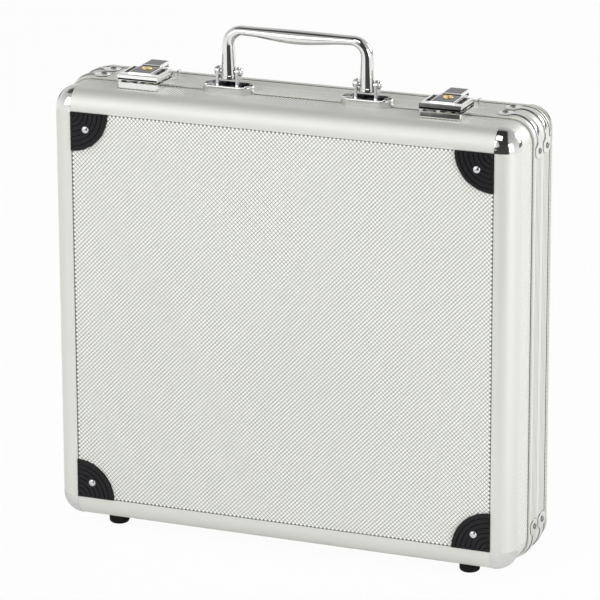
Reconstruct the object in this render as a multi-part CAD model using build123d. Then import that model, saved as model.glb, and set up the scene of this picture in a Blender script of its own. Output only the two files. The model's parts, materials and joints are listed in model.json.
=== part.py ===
from build123d import *
import math
import os

# Carrying case for receivers: two textured half shells that close on a seam,
# standing upright on its feet. Millimetres, +Z up, +X to the right, and the
# face with the deep half behind it looks along -Y. The origin is on the ground,
# midway between the sides and midway between the two faces.
#
# Two kinds of coordinate are used below. Depth runs back from the front edge,
# and offset runs outwards from the edge of the visible face panel.

# Case
panel_width = 345.0
panel_height = 314.0
base_depth = 56.0
lid_depth = 40.5
panel_thickness = 3.5
panel_recess = 0.7
panel_tuck = 3.5
panel_gap = 0.2
corner_steps = 5

# Rounded edge extrusion
edge_radius = 15.0
edge_flat = 2.5
web_thickness = 1.2

# Side band
band_thickness = 4.0
band_recess = 0.7
band_tuck = 2.2

# Closing rim of each half
rim_width = 17.5
rim_proud = 1.5
rim_cap = 5.6
rim_leg_thickness = 1.8
rim_leg_length = 12.0
tongue_thickness = 1.6
tongue_length = 4.0
tongue_gap = 0.4

# Ball corners
ball_proud = 0.3
ball_steps = 4

# Corner gussets on both faces
gusset_radius = 31.0
gusset_base = 1.3
gusset_rib_height = 0.9
gusset_rib_count = 2
gusset_groove_width = 1.2
gusset_boss_radius = 3.8
gusset_rivet_inset = 13.0
gusset_edge_gap = 0.3

# Rivets and other small fasteners, drawn with flat sides
fastener_sides = 6
round_sides = 12
head_crown_share = 0.55
rivet_head_radius = 2.6
rivet_head_height = 1.3
rivet_shank_radius = 1.4
rivet_fit = 0.05

# Corner straps on the rims
strap_thickness = 1.0
strap_width = 16.0
strap_waist = 6.5
strap_reach = 13.0
strap_taper = 4.0
strap_end_cut = 4.0
strap_rivet_inset = 7.6

# Feet
foot_reach = 9.0
foot_radius = 8.0
foot_top_radius = 6.2
foot_round = 2.5
foot_side_inset = 24.5
base_foot_depth = 24.0
lid_foot_setback = 1.0
foot_bore_radius = 3.4
foot_bore_depth = 3.0
foot_screw_head_radius = 3.2
foot_screw_head_height = 1.4
foot_screw_radius = 1.5

# Handle
handle_spacing = 113.5
handle_setback = 16.0
handle_pivot_height = 15.5
handle_rise = 32.8
handle_bend_radius = 12.0
leg_width = 12.0
leg_depth = 9.6
bend_thickness = 10.0
grip_end_thickness = 7.4
grip_end_depth = 10.0
grip_mid_thickness = 11.0
grip_mid_depth = 12.0
grip_sag = 1.4
grip_section_count = 5
bend_steps = 3
eye_drop = 5.6
eye_collar = 3.0
eye_collar_extra = 0.5

# Handle brackets
bracket_length = 42.0
bracket_width = 17.5
bracket_height = 5.5
bracket_wall = 1.6
bracket_floor_height = 3.0
bracket_chamfer = 0.7
ear_thickness = 2.6
ear_width = 7.6
ear_gap = 0.3
pivot_pin_radius = 1.8
pivot_fit = 0.06
knob_radius = 3.2
knob_height = 2.4
bracket_screw_offset = 15.8
bracket_screw_head_radius = 3.1
bracket_screw_head_height = 1.5
bracket_screw_radius = 1.9
screw_hole_gap = 0.1
screw_cross_length = 3.6
screw_cross_width = 0.8
screw_cross_depth = 0.8
backing_length = 38.0
backing_width = 9.0
backing_thickness = 1.2
backing_gap = 1.0

# Latches
latch_side_inset = 49.1
latch_width = 34.0
latch_length = 38.7
latch_base_height = 5.0
latch_base_floor = 3.0
latch_wall = 1.8
latch_seam_gap = 0.3
latch_corner_cut = 1.2
latch_ear_radius = 3.2
lever_gap = 3.2
lever_thickness = 3.1
lever_inset = 0.3
lever_chamfer = 0.5
lever_skirt_drop = 1.4
lever_skirt_thickness = 1.2
lever_skirt_setback = 5.0
lever_rear_lead = 3.0
lever_pivot_setback = 7.0
lever_pivot_height = 6.0
lever_arm_thickness = 2.2
lever_arm_radius = 2.7
lever_arm_gap = 0.2
lever_arm_lead = 6.5
lever_arm_step = 0.5
tongue_block_width = 19.0
tongue_block_height = 1.2
tongue_block_inset = 5.0
tongue_block_chamfer = 0.4
wing_inset = 7.5
wing_margin = 2.2
wing_gap = 0.4
wing_sink = 1.0
hook_pin_lead = 3.5
hook_pin_height = 9.5
hook_pin_radius = 1.2
hook_width = 15.0
hook_knuckle_radius = 4.1
hook_plate_thickness = 2.6
hook_gap = 0.2
hook_reach = 6.4
hook_swing = 101.0
hook_end_chamfer = 1.0
claw_thickness = 2.3
claw_clearance = 0.3
cheek_radius = 3.0
cheek_thickness = 2.0
lever_pin_radius = 1.2
lever_pin_fit = 0.05
lever_pin_head_radius = 2.0
lever_pin_head_height = 0.7
latch_rivet_side = 10.5
latch_rivet_insets = (6.0, 12.5)
latch_rivet_head_radius = 2.4
latch_rivet_head_height = 0.8
latch_rivet_tail_height = 0.9

# Key lock in each lever
key_lead = 10.0
key_radius = 4.0
key_fit = 0.05
key_proud = 0.5
key_chamfer = 0.4
key_tail_height = 6.2
keyway_length = 5.0
keyway_width = 1.2
keyway_depth = 1.6
cam_thickness = 1.2
cam_reach = 8.3
cam_width = 4.4
keeper_inner = 5.6
keeper_outer = 10.6
keeper_post = 1.2
keeper_width = 5.0
keeper_clearance = 0.2
keeper_thickness = 1.2

# Catches on the lid
catch_seam_gap = 0.6
catch_reach = 10.0
catch_plate = 1.5
catch_side_wall = 1.6
catch_side_height = 7.4
catch_side_rear_height = 4.2
catch_side_lead = 1.0
catch_side_flat = 5.0
catch_lip_reach = 2.0
catch_lip_thickness = 1.6
catch_lip_height = 8.3
catch_lip_half_width = 7.0
catch_rivet_side = 10.8
catch_rivet_reach = 6.4

# Hinges under the bottom seam
hinge_side_inset = 57.5
hinge_length = 40.0
hinge_leaf_depth = 15.0
hinge_leaf_thickness = 1.2
hinge_leaf_gap = 0.5
hinge_barrel_radius = 3.0
hinge_rim_gap = 0.35
hinge_pin_radius = 1.3
hinge_pin_fit = 0.05
hinge_pin_head_radius = 2.2
hinge_pin_head_height = 0.8
hinge_middle_length = 16.0
hinge_knuckle_gap = 0.2
hinge_clear_gap = 0.45
hinge_rivet_side = 13.0
hinge_rivet_inset = 5.0

# Foam inside
foam_gap = 0.3
foam_sheet_thickness = 8.0
foam_top_setback = 6.0
pocket_columns = 4
pocket_rows = 2
pocket_width = 72.5
pocket_height = 138.0
pocket_rib = 12.0
lid_foam_thickness = 20.0

# Worked out from the sizes above
case_depth = base_depth + lid_depth
seam_depth = base_depth
edge_width = edge_radius + edge_flat
front_y = -case_depth / 2
half_panel_width = panel_width / 2
half_panel_height = panel_height / 2
middle_z = foot_reach + edge_width + half_panel_height
half_case_height = half_panel_height + edge_width
top_z = middle_z + half_case_height
bottom_z = middle_z - half_case_height
band_outer = edge_width - band_recess
band_inner = band_outer - band_thickness
rim_outer = edge_width + rim_proud
rim_leg_inner = band_inner - rim_leg_thickness
panel_back = panel_recess + panel_thickness
web_back = panel_back + web_thickness
strip_height = -band_recess
rim_height = rim_proud
hinge_axis_y = front_y + seam_depth
hinge_axis_z = bottom_z - rim_proud - hinge_rim_gap - hinge_barrel_radius
handle_depth = seam_depth - handle_setback
handle_y = front_y + handle_depth
handle_pivot_z = top_z + handle_pivot_height
backing_depth = seam_depth - rim_leg_length - backing_gap - backing_width / 2
latch_front_depth = seam_depth - latch_seam_gap - latch_length
latch_rivet_depths = [latch_front_depth + inset for inset in latch_rivet_insets]
lever_pivot_depth = seam_depth - lever_pivot_setback
lever_rear_depth = lever_pivot_depth - lever_rear_lead
hook_pin_depth = lever_pivot_depth - hook_pin_lead
hook_end_depth = seam_depth + hook_reach
key_depth = hook_pin_depth - key_lead
catch_end_depth = seam_depth + catch_reach
catch_lip_depth = seam_depth + catch_lip_reach
catch_rivet_depth = seam_depth + catch_rivet_reach
foam_top_depth = seam_depth - foam_top_setback
overcut = 1.0
UP = (0, 0, 1)

os.makedirs("parts", exist_ok=True)


def depth_y(depth):
    return front_y + depth


def ring_outline(offset):
    """Outline at an offset outside the panel's edge, with its round corners drawn in flats."""
    points = []
    for quarter, (side, level) in enumerate(((1, 1), (-1, 1), (-1, -1), (1, -1))):
        for step in range(corner_steps + 1):
            angle = math.pi / 2 * (quarter + step / corner_steps)
            points.append((side * half_panel_width + offset * math.cos(angle),
                           level * half_panel_height + offset * math.sin(angle)))
    return make_face(Polyline(*points, close=True))


def ring_block(offset, depth_from, depth_to):
    """Solid rounded block whose outline lies the given offset outside the panel edge."""
    back = Plane(origin=(0, depth_y(depth_to), middle_z), x_dir=(1, 0, 0), z_dir=(0, -1, 0))
    return extrude(back * ring_outline(offset), amount=depth_to - depth_from)


def box_between(x, depth, z):
    """Box from three (low, high) pairs: X, depth and Z."""
    size = (x[1] - x[0], depth[1] - depth[0], z[1] - z[0])
    middle = ((x[0] + x[1]) / 2, depth_y((depth[0] + depth[1]) / 2), (z[0] + z[1]) / 2)
    return Pos(*middle) * Box(*size)


def rod_x(x_from, x_to, depth, z, radius):
    """Round bar along X."""
    start = Plane(origin=(x_from, depth_y(depth), z), z_dir=(1, 0, 0))
    return extrude(start * Circle(radius), amount=x_to - x_from)


def rod_z(x, depth, z_from, z_to, radius):
    """Round bar along Z."""
    start = Plane(origin=(x, depth_y(depth), z_from), z_dir=UP)
    return extrude(start * Circle(radius), amount=z_to - z_from)


def post_z(x, depth, z_from, z_to, radius):
    """Flat-sided bar along Z, for a small fastener or its hole."""
    start = Plane(origin=(x, depth_y(depth), z_from), z_dir=UP)
    return extrude(start * RegularPolygon(radius, fastener_sides), amount=z_to - z_from)


def knuckle_x(x_from, x_to, depth, z, radius):
    """Nearly round bar along X: the outside of an eye or a knuckle."""
    start = Plane(origin=(x_from, depth_y(depth), z), z_dir=(1, 0, 0))
    return extrude(start * RegularPolygon(radius, round_sides), amount=x_to - x_from)


def bore_x(x_from, x_to, depth, z, radius):
    """Hole along X whose flats lie at the given radius."""
    return knuckle_x(x_from, x_to, depth, z, radius / math.cos(math.pi / round_sides))


def slot_outline(length, width):
    """Long oval with its ends drawn in flats."""
    steps = round_sides // 2
    right = []
    for step in range(steps + 1):
        angle = math.pi * (step / steps - 0.5)
        right.append(((length - width) / 2 + width / 2 * math.cos(angle), width / 2 * math.sin(angle)))
    return make_face(Polyline(*right, *[(-x, -y) for x, y in right], close=True))


def rivet_hole(seat, depth):
    """Hole for a rivet's shank, from its seat downwards."""
    return extrude(seat * RegularPolygon(rivet_shank_radius + rivet_fit, fastener_sides), amount=-depth)


def tapered_head(seat, radius, height):
    low = seat * RegularPolygon(radius, fastener_sides)
    high = seat * Pos(0, 0, height) * RegularPolygon(radius * head_crown_share, fastener_sides)
    return loft([low, high], ruled=True)


def headed_shank(seat, head_radius, head_height, shank_radius, shank_length):
    """Fastener with a tapered head standing on its seat and its shank below it."""
    shank = extrude(seat * RegularPolygon(shank_radius, fastener_sides), amount=-shank_length)
    return tapered_head(seat, head_radius, head_height) + shank


def rivet(seat, shank_length):
    return headed_shank(seat, rivet_head_radius, rivet_head_height, rivet_shank_radius, shank_length)


def side_profile(points, x_from, x_to):
    """Extrudes an outline of (depth, z) points along X."""
    outline = make_face(Polyline([(x_from, depth_y(d), z) for d, z in points], close=True))
    return extrude(outline, amount=x_to - x_from, dir=(1, 0, 0))


def other_half(shape):
    """The same piece on the lid, as seen in a mirror laid along the middle of the depth."""
    return mirror(shape, Plane.XZ)


def other_side(shape):
    return mirror(shape, Plane.YZ)


def upside_down(shape):
    level = Plane(origin=(0, 0, middle_z), z_dir=UP)
    return mirror(shape, level)


def four_corners(shape):
    """Copies a top right corner piece to all four corners of a face."""
    right = [shape, upside_down(shape)]
    return right + [other_side(piece) for piece in right]


def write(node, shapes):
    """Writes one sub-part as one STEP file."""
    solids = [solid for shape in shapes for solid in shape.solids()]
    part = Compound(children=solids) if len(solids) > 1 else solids[0]
    part.label = node
    export_step(part, f"parts/{node}.step")


def edge_section():
    """Section of the edge extrusion in offset and depth, slotted for the panel and the band."""
    slot_end = panel_tuck + panel_gap
    band_slot = edge_radius - band_tuck - panel_gap
    arc_middle = (edge_flat + edge_radius * math.sin(math.pi / 4),
                  edge_radius - edge_radius * math.cos(math.pi / 4))
    outside = Line((0, 0), (edge_flat, 0))
    outside += ThreePointArc((edge_flat, 0), arc_middle, (edge_width, edge_radius))
    inside = Polyline(
        (edge_width, edge_radius),
        (band_outer, edge_radius),
        (band_outer, band_slot),
        (band_inner, band_slot),
        (band_inner, edge_radius),
        (band_inner - web_thickness, edge_radius),
        (band_inner - web_thickness, web_back),
        (0, web_back),
        (0, panel_back),
        (slot_end, panel_back),
        (slot_end, panel_recess),
        (0, panel_recess),
        (0, 0),
    )
    return make_face(outside + inside)


def edge_lengths():
    """The four straight extrusions round the front panel: top, bottom, left and right."""
    section = edge_section()
    top_start = Plane(
        origin=(half_panel_width, front_y, middle_z + half_panel_height),
        x_dir=UP, z_dir=(-1, 0, 0))
    right_start = Plane(
        origin=(half_panel_width, front_y, middle_z - half_panel_height),
        x_dir=(1, 0, 0), z_dir=UP)
    top = extrude(top_start * section, amount=panel_width)
    right = extrude(right_start * section, amount=panel_height)
    return {"top": top, "bottom": upside_down(top), "left": other_side(right), "right": right}


def ball_corner():
    """Polished corner that joins two edge extrusions, at the top right of the front."""
    proud = edge_radius + ball_proud
    slot_end = panel_tuck + panel_gap
    band_slot = edge_radius - band_tuck - panel_gap
    outside = [(0, -ball_proud)]
    for step in range(ball_steps + 1):
        angle = math.pi / 2 * step / ball_steps
        outside.append((edge_flat + proud * math.sin(angle), edge_radius - proud * math.cos(angle)))
    inside = [
        (band_outer + panel_gap, edge_radius),
        (band_outer + panel_gap, band_slot),
        (band_inner - web_thickness, band_slot),
        (band_inner - web_thickness, web_back),
        (slot_end, web_back),
        (slot_end, panel_recess - panel_gap),
        (0, panel_recess - panel_gap),
    ]
    section = make_face(Polyline(*outside, *inside, close=True))
    corner = (half_panel_width, front_y, middle_z + half_panel_height)
    start = Plane(origin=corner, x_dir=(1, 0, 0), z_dir=UP)
    return revolve(start * section, axis=Axis(corner, (0, -1, 0)), revolution_arc=90)


def face_panel():
    """Textured face panel, held by its edge in the extrusions."""
    return ring_block(panel_tuck, panel_recess, panel_back)


def side_band(depth_from, depth_to):
    """Textured band that bends round the four sides of one half."""
    return ring_block(band_outer, depth_from, depth_to) - ring_block(band_inner, depth_from, depth_to)


def rim_blank(depth_from, depth_to, seam_side_low):
    """Closing rim: outer wall, cap and inner leg around the end of the side band."""
    cap_from = depth_from if seam_side_low else depth_to - rim_cap
    cap_to = depth_from + rim_cap if seam_side_low else depth_to
    leg_from = depth_from if seam_side_low else depth_to - rim_leg_length
    leg_to = depth_from + rim_leg_length if seam_side_low else depth_to
    wall = ring_block(rim_outer, depth_from, depth_to) - ring_block(band_outer, depth_from, depth_to)
    cap = ring_block(band_outer, cap_from, cap_to) - ring_block(rim_leg_inner, cap_from, cap_to)
    leg = ring_block(band_inner, leg_from, leg_to) - ring_block(rim_leg_inner, leg_from, leg_to)
    return wall + cap + leg


def base_rim():
    """Rim of the deep half, with the rebate that the lid's tongue drops into."""
    rim = rim_blank(seam_depth - rim_width, seam_depth, False)
    rebate_from = seam_depth - tongue_length - tongue_gap
    rebate_outer = rim_leg_inner + tongue_thickness + tongue_gap
    return rim - ring_block(rebate_outer, rebate_from, seam_depth)


def lid_rim():
    """Rim of the lid, with the tongue that locates it in the deep half."""
    rim = rim_blank(seam_depth, seam_depth + rim_width, True)
    tongue_outer = rim_leg_inner + tongue_thickness
    tongue_from = seam_depth - tongue_length
    tongue_to = seam_depth + rim_cap
    tongue = ring_block(tongue_outer, tongue_from, tongue_to)
    return rim + (tongue - ring_block(rim_leg_inner, tongue_from, tongue_to))


def gusset():
    """Black ribbed quadrant on the front panel's top right corner."""
    corner_x = half_panel_width - gusset_edge_gap
    corner_z = middle_z + half_panel_height - gusset_edge_gap
    reach = gusset_radius - gusset_edge_gap
    pitch = reach / gusset_rib_count
    base = panel_recess - gusset_base
    rib_top = base - gusset_rib_height
    outline = [(0, panel_recess), (0, rib_top)]
    for index in range(1, gusset_rib_count):
        groove = pitch * index
        outline += [(groove - gusset_groove_width, rib_top), (groove, base),
                    (groove + gusset_groove_width, rib_top)]
    outline += [(reach, rib_top), (reach, panel_recess)]
    face = make_face(Polyline([(corner_x - r, depth_y(d), corner_z) for r, d in outline], close=True))
    body = revolve(face, axis=Axis((corner_x, front_y, corner_z), (0, 1, 0)), revolution_arc=-90)
    seat = gusset_rivet_seat()
    boss = extrude(seat * RegularPolygon(gusset_boss_radius, fastener_sides), amount=rib_top - panel_recess)
    return body + boss - rivet_hole(seat, panel_recess - rib_top)


def gusset_rivet_seat():
    """Seat of the top right gusset's rivet."""
    seat_depth = panel_recess - gusset_base - gusset_rib_height
    x = half_panel_width - gusset_rivet_inset
    z = middle_z + half_panel_height - gusset_rivet_inset
    return Plane(origin=(x, depth_y(seat_depth), z), z_dir=(0, -1, 0))


def gusset_rivet():
    return rivet(gusset_rivet_seat(), gusset_base + gusset_rib_height)


def strap_planes(middle_depth):
    """Planes on the rim under the top right strap's tabs, each with x running to the tab's end."""
    y = depth_y(middle_depth)
    corner_z = middle_z + half_panel_height
    top = Plane(origin=(half_panel_width, y, corner_z + rim_outer), x_dir=(-1, 0, 0), z_dir=UP)
    side = Plane(origin=(half_panel_width + rim_outer, y, corner_z), x_dir=(0, 0, -1), z_dir=(1, 0, 0))
    return [top, side]


def strap_rivet_seats(middle_depth):
    return [plane * Pos(strap_rivet_inset, 0, strap_thickness) for plane in strap_planes(middle_depth)]


def corner_strap(middle_depth):
    """Bent strap round the top right corner of a rim, wide at its tabs and narrow at the bend."""
    waist = strap_waist / 2
    wide = strap_width / 2
    side_points = [(0, waist), (strap_taper, wide), (strap_reach - strap_end_cut, wide),
                   (strap_reach, wide - strap_end_cut)]
    outline = side_points + [(x, -y) for x, y in reversed(side_points)]
    tab = make_face(Polyline(*outline, close=True))
    bend_depths = (middle_depth - waist, middle_depth + waist)
    bend = ring_block(rim_outer + strap_thickness, *bend_depths) - ring_block(rim_outer, *bend_depths)
    reach = rim_outer + strap_thickness + overcut
    corner_z = middle_z + half_panel_height
    strap = bend & box_between((half_panel_width, half_panel_width + reach), bend_depths,
                               (corner_z, corner_z + reach))
    for plane in strap_planes(middle_depth):
        strap += extrude(plane * tab, amount=strap_thickness)
    for seat in strap_rivet_seats(middle_depth):
        strap -= rivet_hole(seat, strap_thickness)
    return strap


def strap_rivets(middle_depth):
    return [rivet(seat, strap_thickness) for seat in strap_rivet_seats(middle_depth)]


def foot(depth, seat_z):
    """Rubber foot at the right, from the seat down to the ground, with a sunk screw."""
    x = half_panel_width - foot_side_inset
    rings = [(0, foot_top_radius), (foot_round, foot_radius), (seat_z, foot_radius)]
    sections = [Pos(x, depth_y(depth), z) * RegularPolygon(radius, round_sides) for z, radius in rings]
    body = loft(sections, ruled=True)
    body -= post_z(x, depth, 0, foot_bore_depth, foot_bore_radius)
    return body - post_z(x, depth, 0, seat_z, foot_screw_radius + screw_hole_gap)


def foot_screw(depth, seat_z):
    x = half_panel_width - foot_side_inset
    head = post_z(x, depth, foot_bore_depth - foot_screw_head_height, foot_bore_depth,
                  foot_screw_head_radius)
    return head + post_z(x, depth, foot_bore_depth, seat_z, foot_screw_radius)


def foot_seat(depth):
    """Height of the surface that a foot is screwed to: the band, or the rim where it covers it."""
    on_rim = seam_depth - rim_width < depth < seam_depth + rim_width
    return bottom_z - (rim_proud if on_rim else -band_recess)


def oval(deep, thick):
    """Oval outline with flat sides, deep along the section's x and thick across it."""
    angles = [2 * math.pi * step / round_sides for step in range(round_sides)]
    return make_face(Polyline(*[(deep / 2 * math.cos(a), thick / 2 * math.sin(a)) for a in angles],
                              close=True))


def handle_section(place, turn, deep, thick):
    """Section of the handle at an (x, z) place, square to the way it runs after the given turn."""
    along = (-math.sin(turn), 0, math.cos(turn))
    plane = Plane(origin=(place[0], handle_y, place[1]), x_dir=(0, 1, 0), z_dir=along)
    return plane * oval(deep, thick)


def grip_section(x):
    """Section of the grip: it swells downwards towards the middle of the handle."""
    bar_z = handle_pivot_z + handle_rise
    end_x = handle_spacing / 2 - handle_bend_radius
    swell = math.cos(x / end_x * math.pi / 2) ** 2
    deep = grip_end_depth + (grip_mid_depth - grip_end_depth) * swell
    thick = grip_end_thickness + (grip_mid_thickness - grip_end_thickness) * swell
    return handle_section((x, bar_z - grip_sag * swell), math.pi / 2, deep, thick)


def leg_sections():
    """Sections of the right leg, from its foot up and round the bend to the grip."""
    leg_x = handle_spacing / 2
    bend_x = leg_x - handle_bend_radius
    bend_z = handle_pivot_z + handle_rise - handle_bend_radius
    sections = [handle_section((leg_x, handle_pivot_z - eye_drop), 0, leg_depth, leg_width)]
    for step in range(bend_steps):
        share = step / bend_steps
        turn = math.pi / 2 * share
        place = (bend_x + handle_bend_radius * math.cos(turn), bend_z + handle_bend_radius * math.sin(turn))
        deep = leg_depth + (grip_end_depth - leg_depth) * share
        thick = bend_thickness + (grip_end_thickness - bend_thickness) * share
        sections.append(handle_section(place, turn, deep, thick))
    return sections


def handle():
    """Cast handle: straight legs, easy bends and a grip that swells downwards in the middle."""
    end_x = handle_spacing / 2 - handle_bend_radius
    steps = grip_section_count - 1
    grip = [grip_section(end_x * (1 - 2 * step / steps)) for step in range(grip_section_count)]
    right = leg_sections()
    leg = loft([right[0], right[1]], ruled=True)
    body = loft(right[1:] + grip[:steps // 2 + 1], ruled=True)
    body += [other_side(body), leg, other_side(leg)]
    for side in (-1, 1):
        x = side * handle_spacing / 2
        eye_plane = Plane(origin=(x, handle_y, handle_pivot_z - eye_drop), x_dir=(0, 1, 0), z_dir=UP)
        collar = oval(leg_depth + 2 * eye_collar_extra, leg_width + 2 * eye_collar_extra)
        body += extrude(eye_plane * collar, amount=eye_collar)
        body -= bore_x(x - leg_width, x + leg_width, handle_depth, handle_pivot_z,
                       pivot_pin_radius + pivot_fit)
    return body


def under_hardware():
    """What the hardware on top of the case sits on: the band and the raised rims."""
    ground = ring_block(band_outer, edge_radius, case_depth - edge_radius)
    return ground + ring_block(rim_outer, seam_depth - rim_width, seam_depth + rim_width)


def ear_offset():
    """Distance from the bracket's middle to the inner face of each ear."""
    return leg_width / 2 + eye_collar_extra + ear_gap


def handle_bracket():
    """Right bracket: an oval cup with two ears that carry the handle's pivot."""
    x = handle_spacing / 2
    base = Plane(origin=(x, handle_y, top_z + strip_height), x_dir=(1, 0, 0), z_dir=UP)
    outline = slot_outline(bracket_length, bracket_width)
    height = bracket_height - strip_height
    cup = extrude(base * outline, amount=height)
    cup = chamfer(cup.edges().group_by(Axis.Z)[-1], bracket_chamfer)
    floor = Plane(origin=(x, handle_y, top_z + bracket_floor_height), x_dir=(1, 0, 0), z_dir=UP)
    recess = slot_outline(bracket_length - 2 * bracket_wall, bracket_width - 2 * bracket_wall)
    cup -= extrude(floor * recess, amount=bracket_height)
    for side in (-1, 1):
        inner = x + side * ear_offset()
        outer = inner + side * ear_thickness
        low, high = min(inner, outer), max(inner, outer)
        blade = box_between((low, high), (handle_depth - ear_width / 2, handle_depth + ear_width / 2),
                            (top_z + bracket_floor_height, handle_pivot_z))
        cup += blade + knuckle_x(low, high, handle_depth, handle_pivot_z, ear_width / 2)
    cup -= bore_x(x - bracket_length, x + bracket_length, handle_depth, handle_pivot_z,
                  pivot_pin_radius + rivet_fit)
    for side in (-1, 1):
        cup -= post_z(x + side * bracket_screw_offset, handle_depth, top_z + strip_height,
                      top_z + bracket_height, bracket_screw_radius + screw_hole_gap)
    return cup - under_hardware()


def pivot_pin():
    """Pin of the right leg, with a domed knob outside each ear."""
    x = handle_spacing / 2
    reach = ear_offset() + ear_thickness
    pin = rod_x(x - reach, x + reach, handle_depth, handle_pivot_z, pivot_pin_radius)
    for side in (-1, 1):
        seat = Plane(origin=(x + side * reach, handle_y, handle_pivot_z), z_dir=(side, 0, 0))
        pin += tapered_head(seat, knob_radius, knob_height)
    return pin


def screw_places():
    """X of the two screws of the right handle bracket."""
    x = handle_spacing / 2
    return (x - bracket_screw_offset, x + bracket_screw_offset)


def bracket_screw(x):
    """Cross-slotted screw from the bracket's cup down into the backing plate."""
    seat_z = top_z + bracket_floor_height
    end_z = middle_z + half_panel_height + band_inner - backing_thickness
    seat = Plane(origin=(x, handle_y, seat_z), z_dir=UP)
    screw = headed_shank(seat, bracket_screw_head_radius, bracket_screw_head_height,
                         bracket_screw_radius, seat_z - end_z)
    cross_z = seat_z + bracket_screw_head_height - screw_cross_depth
    half_long = screw_cross_length / 2
    half_wide = screw_cross_width / 2
    high = cross_z + bracket_screw_head_height
    screw -= box_between((x - half_long, x + half_long),
                         (handle_depth - half_wide, handle_depth + half_wide), (cross_z, high))
    screw -= box_between((x - half_wide, x + half_wide),
                         (handle_depth - half_long, handle_depth + half_long), (cross_z, high))
    return screw


def backing_plate():
    """Steel plate inside the case, tapped for the two screws of the right bracket."""
    x = handle_spacing / 2
    high = middle_z + half_panel_height + band_inner
    plate = box_between((x - backing_length / 2, x + backing_length / 2),
                        (backing_depth - backing_width / 2, backing_depth + backing_width / 2),
                        (high - backing_thickness, high))
    for screw_x in screw_places():
        plate -= post_z(screw_x, handle_depth, high - backing_thickness, high,
                        bracket_screw_radius + rivet_fit)
    return plate


def latch_x():
    return half_panel_width - latch_side_inset


def latch_side(inner, outer):
    """The two (low, high) X pairs at the given distances each side of the right latch."""
    x = latch_x()
    return ((x - outer, x - inner), (x + inner, x + outer))


def latch_base():
    """Stamped base of the right latch: a tray with pivot ears and a keeper for the lock's cam."""
    x = latch_x()
    half = latch_width / 2
    rear = seam_depth - latch_seam_gap
    block = box_between((x - half, x + half), (latch_front_depth, rear),
                        (top_z + strip_height, top_z + latch_base_height))
    block = chamfer(block.edges().filter_by(Axis.Z).group_by(Axis.Y)[0], latch_corner_cut)
    block -= box_between((x - half + latch_wall, x + half - latch_wall),
                         (latch_front_depth + latch_wall, rear),
                         (top_z + latch_base_floor, top_z + latch_base_height))
    pivot_z = top_z + lever_pivot_height
    for low, high in latch_side(half - latch_wall, half):
        ear = box_between((low, high),
                          (lever_pivot_depth - latch_ear_radius, lever_pivot_depth + latch_ear_radius),
                          (top_z + latch_base_floor, pivot_z))
        block += ear + knuckle_x(low, high, lever_pivot_depth, pivot_z, latch_ear_radius)
        block -= bore_x(low, high, lever_pivot_depth, pivot_z, lever_pin_radius + rivet_fit)
    keeper_low = top_z + key_tail_height + keeper_clearance
    keeper_high = keeper_low + keeper_thickness
    keeper_depths = (key_depth - keeper_width / 2, key_depth + keeper_width / 2)
    block += box_between((x + keeper_inner, x + keeper_outer), keeper_depths, (keeper_low, keeper_high))
    block += box_between((x + keeper_outer - keeper_post, x + keeper_outer), keeper_depths,
                         (top_z + latch_base_floor, keeper_high))
    for rivet_x, depth in latch_rivet_places():
        block -= post_z(rivet_x, depth, top_z + strip_height, top_z + latch_base_floor,
                        rivet_shank_radius + rivet_fit)
    return block - under_hardware()


def latch_rivet_places():
    """X and depth of the rivets that hold the right latch's base to the band."""
    x = latch_x()
    return [(x + side * latch_rivet_side, depth) for side in (-1, 1) for depth in latch_rivet_depths]


def latch_rivet(x, depth):
    """Flat rivet from the latch's tray to the inside of the band."""
    seat_z = top_z + latch_base_floor
    tail_z = middle_z + half_panel_height + band_inner
    body = post_z(x, depth, tail_z, seat_z, rivet_shank_radius)
    body += post_z(x, depth, seat_z, seat_z + latch_rivet_head_height, latch_rivet_head_radius)
    return body + post_z(x, depth, tail_z - latch_rivet_tail_height, tail_z, latch_rivet_head_radius)


def latch_lever():
    """Right lever: plate with a skirt, sunk wings, a raised middle and two pivot arms."""
    x = latch_x()
    half = latch_width / 2 - lever_inset
    low = top_z + latch_base_height + lever_gap
    high = low + lever_thickness
    middle_top = high + tongue_block_height
    middle_half = tongue_block_width / 2
    front = latch_front_depth + lever_inset
    plate = box_between((x - half, x + half), (front, lever_rear_depth), (low, high))
    plate = chamfer(plate.edges().group_by(Axis.Z)[-1], lever_chamfer)
    middle = box_between((x - middle_half, x + middle_half),
                         (latch_front_depth + tongue_block_inset, lever_rear_depth), (low, middle_top))
    lever = plate + chamfer(middle.edges().group_by(Axis.Z)[-1], tongue_block_chamfer)
    skirt_z = (low - lever_skirt_drop, low)
    lever += box_between((x - half, x + half), (front, front + lever_skirt_thickness), skirt_z)
    for skirt_x in latch_side(half - lever_skirt_thickness, half):
        lever += box_between(skirt_x, (front, lever_pivot_depth - lever_skirt_setback), skirt_z)
    wing_depths = (latch_front_depth + wing_inset, lever_rear_depth - wing_margin)
    for wing_low, wing_high in latch_side(middle_half + wing_gap, half - wing_margin):
        lever -= box_between((wing_low, wing_high), wing_depths, (high - wing_sink, high))
    return add_lever_pivots(lever, x, low)


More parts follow.
